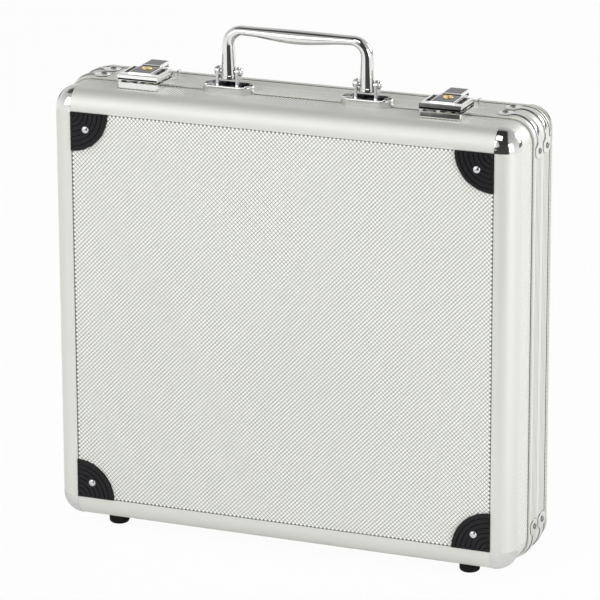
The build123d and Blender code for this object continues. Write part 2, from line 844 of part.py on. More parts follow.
def add_lever_pivots(lever, x, low):
    """Adds the arms on the base's pivot and the cheeks that hold the hook's pin."""
    pivot_z = top_z + lever_pivot_height
    hook_z = top_z + hook_pin_height
    arm_outer = latch_width / 2 - latch_wall - lever_arm_gap
    for arm in latch_side(arm_outer - lever_arm_thickness, arm_outer):
        profile = side_profile(
            [(lever_pivot_depth - lever_arm_lead, low + lever_arm_step),
             (lever_rear_depth, low + lever_arm_step),
             (lever_pivot_depth + lever_arm_radius, pivot_z),
             (lever_pivot_depth - lever_arm_radius, pivot_z - lever_arm_step)], arm[0], arm[1])
        lever += profile + knuckle_x(arm[0], arm[1], lever_pivot_depth, pivot_z, lever_arm_radius)
        lever -= bore_x(arm[0], arm[1], lever_pivot_depth, pivot_z, lever_pin_radius + lever_pin_fit)
    slot_half = hook_width / 2 + hook_gap
    for cheek in latch_side(slot_half, slot_half + cheek_thickness):
        lever += knuckle_x(cheek[0], cheek[1], hook_pin_depth, hook_z, cheek_radius)
    lever -= bore_x(x - slot_half, x + slot_half, hook_pin_depth, hook_z, hook_knuckle_radius + hook_gap)
    lever -= side_profile(hook_room(hook_z), x - slot_half, x + slot_half)
    lever -= box_between((x - slot_half, x + slot_half), (hook_pin_depth, lever_rear_depth + overcut),
                         (low - overcut, hook_z + hook_knuckle_radius + overcut))
    for cheek in latch_side(slot_half, slot_half + cheek_thickness):
        lever -= bore_x(cheek[0], cheek[1], hook_pin_depth, hook_z, hook_pin_radius + rivet_fit)
    bore_top = top_z + latch_base_height + lever_gap + lever_thickness + tongue_block_height
    return lever - rod_z(x, key_depth, low, bore_top, key_radius + key_fit)


def hook_room(hook_z):
    """Outline of the wedge in front of the hook's pin that the folded hook leans into."""
    lean = math.radians(hook_swing - 90)
    foot_lead = (hook_knuckle_radius + hook_gap) / math.cos(lean)
    rise = hook_knuckle_radius + overcut
    return [(hook_pin_depth, hook_z), (hook_pin_depth - foot_lead, hook_z),
            (hook_pin_depth - foot_lead - rise * math.tan(lean), hook_z + rise),
            (hook_pin_depth, hook_z + rise)]


def lever_pins():
    """The two short pins that the right lever turns on, held in the base's ears."""
    half = latch_width / 2
    reach = latch_wall + lever_arm_gap + lever_arm_thickness
    pins = []
    for side in (-1, 1):
        outer = latch_x() + side * half
        inner = outer - side * reach
        pin = rod_x(min(inner, outer), max(inner, outer), lever_pivot_depth,
                    top_z + lever_pivot_height, lever_pin_radius)
        seat = Plane(origin=(outer, depth_y(lever_pivot_depth), top_z + lever_pivot_height),
                     z_dir=(side, 0, 0))
        pins.append(pin + tapered_head(seat, lever_pin_head_radius, lever_pin_head_height))
    return pins


def hook():
    """Right hook: a knuckle on the lever, a flat back and a claw over the catch."""
    x = latch_x()
    half = hook_width / 2
    pin_z = top_z + hook_pin_height
    high = pin_z + hook_knuckle_radius
    knuckle = knuckle_x(x - half, x + half, hook_pin_depth, pin_z, hook_knuckle_radius)
    back = box_between((x - half, x + half), (hook_pin_depth, hook_end_depth),
                       (high - hook_plate_thickness, high))
    claw_low = top_z + catch_lip_height + claw_clearance
    claw = box_between((x - half, x + half), (hook_end_depth - claw_thickness, hook_end_depth),
                       (claw_low, high - hook_plate_thickness))
    body = knuckle + back + claw
    rear_edge = body.edges().filter_by(Axis.X).group_by(Axis.Z)[-1].sort_by(Axis.Y)[-1]
    body = chamfer(rear_edge, hook_end_chamfer)
    return body - bore_x(x - half, x + half, hook_pin_depth, pin_z, hook_pin_radius + lever_pin_fit)


def hook_pin():
    """Pin through the lever's cheeks and the hook's knuckle."""
    x = latch_x()
    reach = hook_width / 2 + hook_gap + cheek_thickness
    return rod_x(x - reach, x + reach, hook_pin_depth, top_z + hook_pin_height, hook_pin_radius)


def key_cylinder():
    """Brass lock cylinder with its keyway, in the lever's middle."""
    x = latch_x()
    face = top_z + latch_base_height + lever_gap + lever_thickness + tongue_block_height + key_proud
    barrel = rod_z(x, key_depth, top_z + key_tail_height, face, key_radius)
    barrel = chamfer(barrel.edges().group_by(Axis.Z)[-1], key_chamfer)
    return barrel - box_between((x - keyway_width / 2, x + keyway_width / 2),
                                (key_depth - keyway_length / 2, key_depth + keyway_length / 2),
                                (face - keyway_depth, face))


def lock_cam():
    """Cam under the cylinder: it points forwards when the lever is free to lift."""
    x = latch_x()
    high = top_z + key_tail_height
    low = high - cam_thickness
    tip = key_depth - cam_reach + cam_width / 2
    cam = post_z(x, key_depth, low, high, cam_width / 2)
    cam += post_z(x, tip, low, high, cam_width / 2)
    half = cam_width / 2 * math.cos(math.pi / fastener_sides)
    return cam + box_between((x - half, x + half), (tip, key_depth), (low, high))


def catch():
    """Right catch on the lid's rim: a plate with two side walls and the lip for the claw."""
    x = latch_x()
    half = latch_width / 2
    start = seam_depth + catch_seam_gap
    side_start = start + catch_side_lead
    seat = top_z + rim_height
    plate = box_between((x - half, x + half), (start, catch_end_depth), (seat, seat + catch_plate))
    plate = chamfer(plate.edges().filter_by(Axis.Z).group_by(Axis.Y)[-1], latch_corner_cut)
    for low, high in latch_side(half - catch_side_wall, half):
        plate += side_profile(
            [(side_start, seat), (side_start, top_z + catch_side_height),
             (side_start + catch_side_flat, top_z + catch_side_height),
             (catch_end_depth - latch_corner_cut, top_z + catch_side_rear_height),
             (catch_end_depth - latch_corner_cut, seat)], low, high)
    plate += box_between((x - catch_lip_half_width, x + catch_lip_half_width),
                         (catch_lip_depth, catch_lip_depth + catch_lip_thickness),
                         (seat, top_z + catch_lip_height))
    for side in (-1, 1):
        plate -= post_z(x + side * catch_rivet_side, catch_rivet_depth, seat, seat + catch_plate,
                        rivet_shank_radius + rivet_fit)
    return plate


def catch_rivets():
    seat_z = top_z + rim_height + catch_plate
    seats = [Plane(origin=(latch_x() + side * catch_rivet_side, depth_y(catch_rivet_depth), seat_z),
                   z_dir=UP) for side in (-1, 1)]
    return [headed_shank(seat, latch_rivet_head_radius, latch_rivet_head_height,
                         rivet_shank_radius, catch_plate) for seat in seats]


def hinge_x():
    return half_panel_width - hinge_side_inset


def hinge_depth(side, distance):
    """Depth at a distance from the seam, to the front for side -1 and to the back for side 1."""
    return seam_depth + side * distance


def hinge_leaf(side, spans, clear_spans):
    """Right hinge leaf on one rim, with its own knuckles and room for the other leaf's."""
    x = hinge_x()
    seat = bottom_z - rim_proud
    depths = sorted((hinge_depth(side, hinge_leaf_gap), hinge_depth(side, hinge_leaf_depth)))
    leaf = box_between((x - hinge_length / 2, x + hinge_length / 2), depths,
                       (seat - hinge_leaf_thickness, seat))
    clear = hinge_barrel_radius + hinge_clear_gap
    for low, high in clear_spans:
        leaf -= box_between((x + low, x + high), sorted((hinge_depth(side, 0), hinge_depth(side, clear))),
                            (seat - hinge_leaf_thickness, seat))
    for low, high in spans:
        leaf += knuckle_x(x + low, x + high, seam_depth, hinge_axis_z, hinge_barrel_radius)
    leaf -= bore_x(x - hinge_length, x + hinge_length, seam_depth, hinge_axis_z,
                   hinge_pin_radius + hinge_pin_fit)
    for seat_plane in hinge_rivet_places(side):
        leaf -= rivet_hole(seat_plane, hinge_leaf_thickness)
    return leaf


def hinge_spans():
    """Knuckle spans along the right hinge: the two outer ones and the middle one."""
    half = hinge_length / 2
    inner = hinge_middle_length / 2
    outer_from = inner + hinge_knuckle_gap
    outer = [(-half, -outer_from), (outer_from, half)]
    return outer, [(-inner, inner)]


def hinge_rivet_places(side):
    """Seats of the right hinge leaf's rivets, on the leaf's underside."""
    z = bottom_z - rim_proud - hinge_leaf_thickness
    depth = hinge_depth(side, hinge_leaf_depth - hinge_rivet_inset)
    return [Plane(origin=(hinge_x() + offset, depth_y(depth), z), z_dir=(0, 0, -1))
            for offset in (-hinge_rivet_side, hinge_rivet_side)]


def hinge_rivets(side):
    return [rivet(seat, hinge_leaf_thickness) for seat in hinge_rivet_places(side)]


def hinge_pin():
    """Right hinge pin with a head at each end."""
    x = hinge_x()
    half = hinge_length / 2
    pin = rod_x(x - half, x + half, seam_depth, hinge_axis_z, hinge_pin_radius)
    for low, high in ((-half - hinge_pin_head_height, -half), (half, half + hinge_pin_head_height)):
        pin += knuckle_x(x + low, x + high, seam_depth, hinge_axis_z, hinge_pin_head_radius)
    return pin


def foam_offset():
    return rim_leg_inner - foam_gap


def foam_sheet():
    """Soft sheet under the pockets."""
    return ring_block(foam_offset(), web_back + foam_gap, web_back + foam_gap + foam_sheet_thickness)


def pocket_foam():
    """Foam block with one pocket for each receiver."""
    floor_depth = web_back + foam_gap + foam_sheet_thickness
    block = ring_block(foam_offset(), floor_depth, foam_top_depth)
    pitch_x = pocket_width + pocket_rib
    pitch_z = pocket_height + pocket_rib
    back = Plane(origin=(0, depth_y(foam_top_depth), middle_z), x_dir=(1, 0, 0), z_dir=(0, -1, 0))
    for column in range(pocket_columns):
        for row in range(pocket_rows):
            x = (column - (pocket_columns - 1) / 2) * pitch_x
            z = (row - (pocket_rows - 1) / 2) * pitch_z
            outline = Pos(x, z) * Rectangle(pocket_width, pocket_height)
            block -= extrude(back * outline, amount=foam_top_depth - floor_depth)
    return block


def lid_foam():
    """Foam pad in the lid that holds the receivers down."""
    back = case_depth - web_back - foam_gap
    return ring_block(foam_offset(), back - lid_foam_thickness, back)


def fastener_holes():
    """Holes through the top of the deep half for the bracket screws and the latch rivets."""
    low = middle_z + half_panel_height + band_inner
    high = top_z + rim_proud
    screw_hole_radius = bracket_screw_radius + screw_hole_gap
    holes = [post_z(x, handle_depth, low - rim_leg_thickness, high, screw_hole_radius)
             for x in screw_places()]
    holes += [post_z(x, depth, low, high, rivet_shank_radius + rivet_fit)
              for x, depth in latch_rivet_places()]
    return holes + [other_side(hole) for hole in holes]


def cut_holes(shape):
    for hole in fastener_holes():
        shape -= hole
    return shape


def write_shells():
    """Panels, bands, rims, edges and corner pieces of both halves."""
    front_panel = face_panel()
    write("base_panel", [front_panel])
    write("lid_panel", [other_half(front_panel)])
    base_band_end = seam_depth - rim_cap - panel_gap
    lid_band_start = seam_depth + rim_cap + panel_gap
    write("base_side_band", [cut_holes(side_band(edge_radius - band_tuck, base_band_end))])
    write("lid_side_band", [side_band(lid_band_start, case_depth - edge_radius + band_tuck)])
    write("base_rim", [cut_holes(base_rim())])
    write("lid_rim", [lid_rim()])
    for name, length in edge_lengths().items():
        write(f"base_edge_{name}", [length])
        write(f"lid_edge_{name}", [other_half(length)])
    repeated = {
        "ball_corners": [ball_corner()],
        "gussets": [gusset()],
        "gusset_rivets": [gusset_rivet()],
    }
    for name, pieces in repeated.items():
        corners = [copy for piece in pieces for copy in four_corners(piece)]
        write(f"base_{name}", corners)
        write(f"lid_{name}", [other_half(piece) for piece in corners])
    for half, direction in (("base", -1), ("lid", 1)):
        middle = seam_depth + direction * rim_width / 2
        write(f"{half}_corner_straps", four_corners(corner_strap(middle)))
        rivets = [copy for rivet in strap_rivets(middle) for copy in four_corners(rivet)]
        write(f"{half}_strap_rivets", rivets)


def write_feet():
    lid_foot_depth = seam_depth + rim_width / 2 + lid_foot_setback
    for half, depth in (("base", base_foot_depth), ("lid", lid_foot_depth)):
        seat_z = foot_seat(depth)
        right_foot = foot(depth, seat_z)
        right_screw = foot_screw(depth, seat_z)
        write(f"{half}_feet", [right_foot, other_side(right_foot)])
        write(f"{half}_foot_screws", [right_screw, other_side(right_screw)])


def write_handle():
    write("handle", [handle()])
    bracket = handle_bracket()
    write("handle_bracket_right", [bracket])
    write("handle_bracket_left", [other_side(bracket)])
    pin = pivot_pin()
    write("handle_pivot_pins", [pin, other_side(pin)])
    screws = [bracket_screw(x) for x in screw_places()]
    write("handle_bracket_screws", screws + [other_side(screw) for screw in screws])
    plate = backing_plate()
    write("handle_backing_plates", [plate, other_side(plate)])


def write_latches():
    singles = {
        "latch_base": latch_base(),
        "latch_lever": latch_lever(),
        "latch_hook": hook(),
        "key_cylinder": key_cylinder(),
        "lock_cam": lock_cam(),
        "hook_pin": hook_pin(),
        "latch_catch": catch(),
    }
    for name, piece in singles.items():
        write(f"{name}_right", [piece])
        write(f"{name}_left", [other_side(piece)])
    groups = {
        "lever_pins": lever_pins(),
        "latch_rivets": [latch_rivet(x, depth) for x, depth in latch_rivet_places()],
        "catch_rivets": catch_rivets(),
    }
    for name, pieces in groups.items():
        write(name, pieces + [other_side(piece) for piece in pieces])


def write_hinges():
    outer, middle = hinge_spans()
    gap = hinge_knuckle_gap
    clear_middle = [(low - gap, high + gap) for low, high in middle]
    clear_outer = [(low - gap, high + gap) for low, high in outer]
    leaves = {"base": hinge_leaf(-1, outer, clear_middle), "lid": hinge_leaf(1, middle, clear_outer)}
    for (half, leaf), side in zip(leaves.items(), (-1, 1)):
        write(f"{half}_hinge_leaves", [leaf, other_side(leaf)])
        rivets = hinge_rivets(side)
        write(f"{half}_hinge_rivets", rivets + [other_side(rivet) for rivet in rivets])
    pin = hinge_pin()
    write("hinge_pins", [pin, other_side(pin)])


def write_foam():
    write("foam_sheet", [foam_sheet()])
    write("foam_pockets", [pocket_foam()])
    write("lid_foam", [lid_foam()])


write_shells()
write_feet()
write_handle()
write_latches()
write_hinges()
write_foam()
print("hinge axis", round(hinge_axis_y, 3), round(hinge_axis_z, 3))
print("handle pivot", round(handle_y, 3), round(handle_pivot_z, 3))
print("lever pivot", round(depth_y(lever_pivot_depth), 3), round(top_z + lever_pivot_height, 3))
print("hook pin", round(depth_y(hook_pin_depth), 3), round(top_z + hook_pin_height, 3))
print("key axis", round(latch_x(), 3), round(depth_y(key_depth), 3))
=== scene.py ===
# %% [markdown]
# # Aluminium carrying case: its looks
# The case is two textured half shells with rounded edge extrusions, bright ball
# corners, black corner gussets, two lever latches and a cast handle. The frame
# holds its exact solids. This script puts a finish on those that are right
# already, and builds the others again with the curves and the small work that
# a light falls on. Sizes are in millimetres and are turned to metres at the end
# of each build.

import json
import math

import bmesh
import bpy
from mathutils import Matrix, Vector

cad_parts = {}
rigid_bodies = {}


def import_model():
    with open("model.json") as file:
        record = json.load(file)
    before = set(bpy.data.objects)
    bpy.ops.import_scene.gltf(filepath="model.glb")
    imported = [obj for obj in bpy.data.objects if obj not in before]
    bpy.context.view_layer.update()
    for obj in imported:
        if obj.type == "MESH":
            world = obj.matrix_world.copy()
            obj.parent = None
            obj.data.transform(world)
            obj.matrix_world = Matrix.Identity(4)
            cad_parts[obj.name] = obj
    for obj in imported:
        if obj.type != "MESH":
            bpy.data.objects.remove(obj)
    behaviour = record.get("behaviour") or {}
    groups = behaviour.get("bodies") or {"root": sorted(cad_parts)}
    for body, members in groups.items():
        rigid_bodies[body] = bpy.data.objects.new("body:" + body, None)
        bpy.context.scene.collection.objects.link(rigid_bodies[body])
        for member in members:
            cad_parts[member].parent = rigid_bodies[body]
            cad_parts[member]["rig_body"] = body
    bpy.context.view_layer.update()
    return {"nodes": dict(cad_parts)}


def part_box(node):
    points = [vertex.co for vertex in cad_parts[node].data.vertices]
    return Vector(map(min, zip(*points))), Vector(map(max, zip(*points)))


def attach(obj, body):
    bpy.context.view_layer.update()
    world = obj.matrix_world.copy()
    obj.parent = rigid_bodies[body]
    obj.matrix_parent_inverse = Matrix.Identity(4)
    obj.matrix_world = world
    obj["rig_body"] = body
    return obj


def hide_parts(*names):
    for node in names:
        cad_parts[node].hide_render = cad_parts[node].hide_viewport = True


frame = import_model()

# %% [markdown]
# ## The sizes that the pieces share
# Depth is counted from the front edge backwards and offset outwards from the
# edge of the face panel, as a case maker would draw the section. Height is
# counted from the ground.

# %% Shared sizes
MM = 0.001
HALF_WIDTH = 172.5
HALF_HEIGHT = 157.0
MIDDLE_Z = 183.5
PANEL_TOP = MIDDLE_Z + HALF_HEIGHT
FRONT_Y = -48.25
CASE_DEPTH = 96.5
SEAM = 56.0
EDGE_RADIUS = 15.0
EDGE_FLAT = 2.5
EDGE_FOOT = 11.6
EDGE_SEAT = 5.4
TOP = PANEL_TOP + EDGE_RADIUS + EDGE_FLAT
PANEL_RECESS = 0.7
BAND_OUTER = 16.8
BAND_INNER = 12.8
RIM_OUTER = 19.0
RIM_WIDTH = 17.5
GUSSET_RIVET = 13.0
CORNER_STEPS = 18
AXIS = 0.001
SHARP = math.radians(35.0)
WELD = 0.0005
BEVEL_FROM = 0.55
print("top of the case at", TOP, "mm, seam", SEAM, "mm deep")


# %% [markdown]
# ## Making meshes
# Every piece here is a bmesh. A prism, a turned shape and a sweep round the
# case cover nearly all of its metalwork. Building them in code keeps each edge
# where the drawing has it. One function then welds, softens the edges with a
# small bevel, turns the faces outwards and scales to metres. Another names the
# body that carries the piece, and the CAD nodes that it stands for.

# %% Basic shapes
def at(depth):
    return FRONT_Y + depth


def add_rings(bm, rings, closed=True, caps=True):
    """Joins rings of points with faces; closed says that each ring runs round."""
    rows = [[bm.verts.new(point) for point in ring] for ring in rings]
    count = len(rows[0])
    for low, high in zip(rows, rows[1:]):
        for i in range(count if closed else count - 1):
            j = (i + 1) % count
            bm.faces.new((low[i], low[j], high[j], high[i]))
    if caps:
        bm.faces.new(rows[0])
        bm.faces.new(rows[-1])


def prism(bm, outline, axis, low, high):
    """Block with a flat outline: (y, z) points along x, or (x, y) points along z."""
    add_rings(bm, [[(t, a, b) if axis == "x" else (a, b, t) for a, b in outline]
                   for t in (low, high)])


def facing(direction):
    """Turn that takes the z axis to a direction."""
    return Vector(direction).to_track_quat("Z", "Y").to_matrix()


def lathe(bm, profile, place, turn=Matrix.Identity(3), steps=24, arc=360):
    """Turns (radius, height) points about an axis through a place; a part turn gets caps."""
    rings = []
    for step in range(steps + 1):
        a = math.radians(arc) * step / steps
        rings.append([Vector(place) + turn @ Vector((r * math.cos(a), r * math.sin(a), h))
                      for r, h in profile])
    add_rings(bm, rings, closed=arc < 360, caps=arc < 360)


def arc_points(middle, radius, start, end, steps):
    """Points on an arc, with its angles in degrees."""
    turns = [math.radians(start + (end - start) * step / steps) for step in range(steps + 1)]
    return [(middle[0] + radius * math.cos(a), middle[1] + radius * math.sin(a)) for a in turns]


def round_rect(x, z, radii, depth, steps=6):
    """Upright rectangle at a depth, with z from the middle and its own radius at each corner."""
    points = []
    corners = ((x[1], z[1], 1, 1), (x[0], z[1], -1, 1), (x[0], z[0], -1, -1), (x[1], z[0], 1, -1))
    for start, ((cx, cz, sx, sz), radius) in zip(range(0, 360, 90), zip(corners, radii)):
        points += arc_points((cx - sx * radius, cz - sz * radius), radius, start, start + 90, steps)
    return [(a, at(depth), b + MIDDLE_Z) for a, b in points]


def flip(points, axis, middle=0.0):
    """Moves points to their mirror images across a plane square to an axis."""
    for point in points:
        point.co[axis] = 2 * middle - point.co[axis]


def mirrored(build, axis, middle=0.0):
    """The same shape built on the other side only."""
    def other(bm):
        build(bm)
        flip(bm.verts, axis, middle)
    return other


# %% From bmesh to a riding piece
def as_mesh(bm):
    mesh = bpy.data.meshes.new("mesh")
    bm.to_mesh(mesh)
    bm.free()
    return mesh


def linked(name, data):
    """A new object in the scene."""
    thing = bpy.data.objects.new(name, data)
    bpy.context.scene.collection.objects.link(thing)
    return thing


def applied(mesh, kind, inputs=None, **settings):
    """Puts a modifier on a mesh, and returns the plain mesh that it makes."""
    holder = linked("holder", mesh)
    modifier = holder.modifiers.new("step", kind)
    for key, value in settings.items():
        setattr(modifier, key, value)
    if inputs:
        for item in modifier.node_group.interface.items_tree:
            if item.in_out == "INPUT" and item.name in inputs:
                modifier[item.identifier] = inputs[item.name]
    bpy.context.view_layer.update()
    graph = bpy.context.evaluated_depsgraph_get()
    made = bpy.data.meshes.new_from_object(holder.evaluated_get(graph))
    bpy.data.objects.remove(holder)
    return made


def solid(build, soften=0.0, segments=2):
    """Builds, welds, bevels and scales a shape. Its large flats are shaded flat."""
    bm = bmesh.new()
    build(bm)
    bmesh.ops.remove_doubles(bm, verts=bm.verts, dist=WELD)
    bmesh.ops.recalc_face_normals(bm, faces=bm.faces)
    if soften:
        hard = [e for e in bm.edges if len(e.link_faces) == 2 and e.calc_face_angle(0) > BEVEL_FROM]
        bmesh.ops.bevel(bm, geom=hard, offset=soften, segments=segments, profile=0.5,
                        affect="EDGES", clamp_overlap=True)
    bmesh.ops.scale(bm, vec=(MM, MM, MM), verts=bm.verts)
    mesh = as_mesh(bm)
    mesh.shade_smooth()
    mesh.set_sharp_from_angle(angle=SHARP)
    return applied(mesh, "WEIGHTED_NORMAL", keep_sharp=True)


def add_piece(name, mesh, finish, body, nodes=()):
    """Shows a mesh as a piece that rides on a body and stands for CAD nodes."""
    piece = linked(name, mesh)
    mesh.materials.clear()
    mesh.materials.append(finish)
    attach(piece, body)
    if nodes:
        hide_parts(*nodes)
    return piece


def show(node, mesh, finish):
    """Stands a mesh in for a CAD node, on the node's own body."""
    return add_piece(f"shown_{node}", mesh, finish, frame["nodes"][node]["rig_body"], [node])


def both_halves(name, build, finish, mirror_y=0.0):
    """Shows a shape on the front half, and its mirror image on the lid."""
    ways = {"base": build, "lid": mirrored(build, 1, mirror_y)}
    return [show(f"{half}_{name}", solid(way), finish) for half, way in ways.items()]


def repaint(names, finish):
    """Puts a finish on CAD nodes that are shown as they are."""
    for name in names:
        frame["nodes"][name].data.materials.clear()
        frame["nodes"][name].data.materials.append(finish)


# %% [markdown]
# ## Writing node trees
# A shader or a Geometry Nodes tree is a page of wires. One small class wraps a
# socket so that Python's own signs add the Math nodes, and one method adds any
# other node, makes its settings first and feeds its inputs after. The finishes
# then read like formulas.

# %% Node helpers
def sign(operation, turned=False):
    """What one of Python's signs does to a wire: it adds a Math node. Turned is for 1 - wire."""
    def act(wire, other):
        return wire.page.math(operation, *((other, wire) if turned else (wire, other)))
    return act


class Wire:
    """An output socket that Python's arithmetic signs work on."""

    def __init__(self, page, socket):
        self.page, self.socket = page, socket

    __add__ = __radd__ = sign("ADD")
    __mul__ = __rmul__ = sign("MULTIPLY")
    __sub__, __rsub__ = sign("SUBTRACT"), sign("SUBTRACT", turned=True)
    __truediv__, __rtruediv__ = sign("DIVIDE"), sign("DIVIDE", turned=True)
    __lt__, __gt__ = sign("LESS_THAN"), sign("GREATER_THAN")


class Page:
    """A node tree with short ways to add to it."""

    def __init__(self, tree):
        self.tree = tree

    def feed(self, socket, value):
        """Links a wire to a socket, or types a value in. A colour is three numbers."""
        if isinstance(value, Wire):
            self.tree.links.new(value.socket, socket)
        else:
            socket.default_value = (*value, 1.0) if socket.type == "RGBA" else value

    def add(self, kind, values=None, out=0, stops=(), **settings):
        """Adds a node: its settings and a ramp's stops first, then its inputs by name or place."""
        node = self.tree.nodes.new(kind)
        for key, value in settings.items():
            setattr(node, key, value)
        for _ in stops[2:]:
            node.color_ramp.elements.new(0.5)
        for place, (position, level) in enumerate(stops):
            element = node.color_ramp.elements[place]
            element.position, element.color = position, (level, level, level, 1.0)
        for key, value in (values or {}).items():
            self.feed(node.inputs[key], value)
        return Wire(self, node.outputs[out]) if node.outputs else node

    def math(self, operation, *values):
        return self.add("ShaderNodeMath", dict(enumerate(values)), operation=operation)

    def step(self, value, edge, slope):
        """Goes from 0 to 1 as a value passes an edge. A slope below zero turns it round."""
        return self.add("ShaderNodeClamp", {0: (value - edge) * slope})

    def split(self, vector):
        """The x, y and z of a vector."""
        node = self.add("ShaderNodeSeparateXYZ", {0: vector}).socket.node
        return [Wire(self, socket) for socket in node.outputs]

    def spot(self):
        """The x, y and z of the point that Geometry Nodes works on."""
        return self.split(self.add("GeometryNodeInputPosition"))

    def join(self, *parts):
        return self.add("ShaderNodeCombineXYZ", dict(enumerate(parts)))

    def mix(self, share, low, high, **settings):
        """Blends two colours, three numbers each, or wires."""
        return self.add("ShaderNodeMix", {0: share, 6: low, 7: high}, 2, data_type="RGBA", **settings)

    def ramp(self, value, stops):
        """Greys along a value, from (position, level) stops."""
        return self.add("ShaderNodeValToRGB", {"Fac": value}, stops=stops)

    def ray(self, kind):
        """1 for rays of one kind, and 0 for the others."""
        return self.add("ShaderNodeLightPath", out=f"Is {kind} Ray")


def grey(level):
    return (level, level, level)


# %% [markdown]
# ## Finishes
# Each finish is one Principled shader. What is the same all over is typed into
# the shader's own sockets. What changes from place to place, such as brushed
# lines, the patches of painted highlight on the gussets' ribs and the pores of
# foam, comes from noise on the object's own coordinates, so it stays put when
# the lid opens. Some finishes carry painted light and shade, as noted where
# they are used.

# %% Finish helper
def new_finish(name, slot, paint, **uniform):
    """Makes a material. Paint gives its colour, its roughness and, for some, its normal."""
    finish = bpy.data.materials.new(name)
    finish.use_nodes = True
    finish["slot"] = slot
    page = Page(finish.node_tree)
    shader = finish.node_tree.nodes["Principled BSDF"]
    for key, value in uniform.items():
        shader.inputs[key.replace("_", " ")].default_value = value
    place = page.add("ShaderNodeTexCoord", out="Object")
    for key, value in zip(("Base Color", "Roughness", "Normal"), paint(page, place)):
        page.feed(shader.inputs[key], value)
    return finish


def noise(page, place, size, stretch=(1, 1, 1), detail=2.0):
    """Noise whose spots are about size millimetres across, drawn out by stretch."""
    scale = tuple(1.0 / (size * MM * s) for s in stretch)
    spot = page.add("ShaderNodeMapping", {"Vector": place, "Scale": scale})
    return page.add("ShaderNodeTexNoise", {"Vector": spot, "Scale": 1.0, "Detail": detail})


def bump(page, height, depth, strength=1.0):
    """Bump of a depth in millimetres."""
    return page.add("ShaderNodeBump", {"Height": height, "Distance": depth * MM, "Strength": strength})


# %% Metal finishes
def brushed(name, along):
    """Satin anodised aluminium with fine lines along x, y or z."""
    def paint(page, place):
        lines = noise(page, place, 0.5, [40 if axis == along else 1 for axis in "xyz"], detail=3.0)
        cloud = noise(page, place, 60.0)
        tone = page.mix(lines * 0.35 + cloud * 0.4, (0.779, 0.78474, 0.7421), (0.8528, 0.85854, 0.8118))
        return tone, 0.46 + lines * 0.10 + cloud * 0.06, bump(page, lines, 0.010)

    return new_finish(name, "satin_aluminium", paint, Metallic=0.62)


def hazed(name, slot, size, low, high, smooth, spread, detail=4.0, waves=0.0):
    """Bare metal whose colour and roughness drift in spots, with slow waves where it is bright."""
    def paint(page, place):
        haze = noise(page, place, size, detail=detail)
        looks = [page.mix(haze, low, high), smooth + haze * spread]
        return looks + [bump(page, noise(page, place, 6.0), waves)] if waves else looks

    return new_finish(name, slot, paint, Metallic=1.0)


satin_x = brushed("satin_aluminium_along_x", "x")
satin_z = brushed("satin_aluminium_along_z", "z")
satin_round = brushed("satin_aluminium_round", "y")
chrome = hazed("bright_chrome", "chrome_trim", 9.0, (0.72, 0.72, 0.7092), (0.84, 0.84, 0.8232),
               0.045, 0.07, waves=0.012)
# A lighter copy of the chrome, for the latch levers, skirts and hooks: a painted highlight that makes
# them brighter than the same chrome elsewhere.
painted_bright_chrome = hazed("chrome_painted_brighter", "chrome_trim", 9.0, (0.88, 0.88, 0.8668), (0.95, 0.95, 0.931),
                 0.045, 0.07, waves=0.012)
plated = hazed("plated_steel", "plated_steel", 1.5, (0.58, 0.58, 0.59), (0.74, 0.74, 0.75), 0.16, 0.16)
# Nickel painted dark for the strap rivets: a painted reflection of the dark room in their heads.
dark_nickel_reflection = hazed("nickel_painted_dark", "plated_steel", 1.2, (0.22, 0.21, 0.21), (0.36, 0.35, 0.34), 0.14, 0.12)
# Dark chrome: the levers' plates and wing ribs are made of it, and the straps' low walls, the insides
# of the bracket cups and the hooks' tops take it as painted shade.
smoked_and_shade = hazed("smoked_chrome_and_shade", "chrome_trim", 5.0, (0.045, 0.042, 0.050), (0.10, 0.094, 0.11),
               0.09, 0.08)
brass = hazed("turned_brass", "brass", 0.6, (0.95, 0.66, 0.24), (1.0, 0.84, 0.46), 0.22, 0.14,
              detail=3.0)
print("metal finishes made")


# %% Sheet, plastic, rubber and foam finishes
def sheet(name, low, high, metallic=0.25):
    """Textured sheet, whose colour drifts from low to high in wide clouds and a fine grain."""
    def paint(page, place):
        cloud = noise(page, place, 90.0, detail=3.0)
        grain = noise(page, place, 0.8)
        tone = page.mix(cloud * 0.6 + grain * 0.4, low, high)
        return tone, 0.42 + grain * 0.12, bump(page, grain, 0.012)

    return new_finish(name, "textured_panel", paint, Metallic=metallic)


def plastic_paint(page, place):
    """The crests, which are all that stands 0.9 mm clear of the case's faces, are painted lighter in
    patches, a painted highlight on the ribs; the same patches vary the roughness.
    """
    grain = noise(page, place, 0.35, detail=3.0)
    highlight_patches = noise(page, place, 11.0, detail=3.0)
    out = page.math("ABSOLUTE", page.split(place)[1])
    # Painted highlight: the rib crests are painted lighter than the grooves, in noise patches.
    crest = page.step(out, (0.9 - FRONT_Y) * MM, 2500.0)
    tone = page.mix(crest * (highlight_patches * 0.5 + 0.5), grey(0.003), (0.012, 0.012, 0.0145))
    return tone, 0.30 + highlight_patches * 0.14, bump(page, grain, 0.02)


def rubber_paint(page, place):
    grain = noise(page, place, 0.25, detail=4.0)
    dust = noise(page, place, 7.0, detail=5.0)
    return page.mix(dust, grey(0.004), grey(0.015)), 0.62 + dust * 0.2, bump(page, grain, 0.03)


def foam_paint(page, place):
    pores = page.add("ShaderNodeTexVoronoi", {
        "Vector": place, "Scale": 1.0 / (1.1 * MM), "Randomness": 1.0}, feature="F1")
    fine = noise(page, place, 0.5, detail=4.0)
    cloud = noise(page, place, 45.0)
    tone = page.mix(pores * 0.9, (0.028, 0.028, 0.031), (0.115, 0.115, 0.122))
    shade = page.mix(cloud * 0.4, tone, (0.09, 0.09, 0.096))
    return shade, 0.9 + fine * 0.08, bump(page, pores * 0.6 + fine * 0.4, 0.30, 0.8)
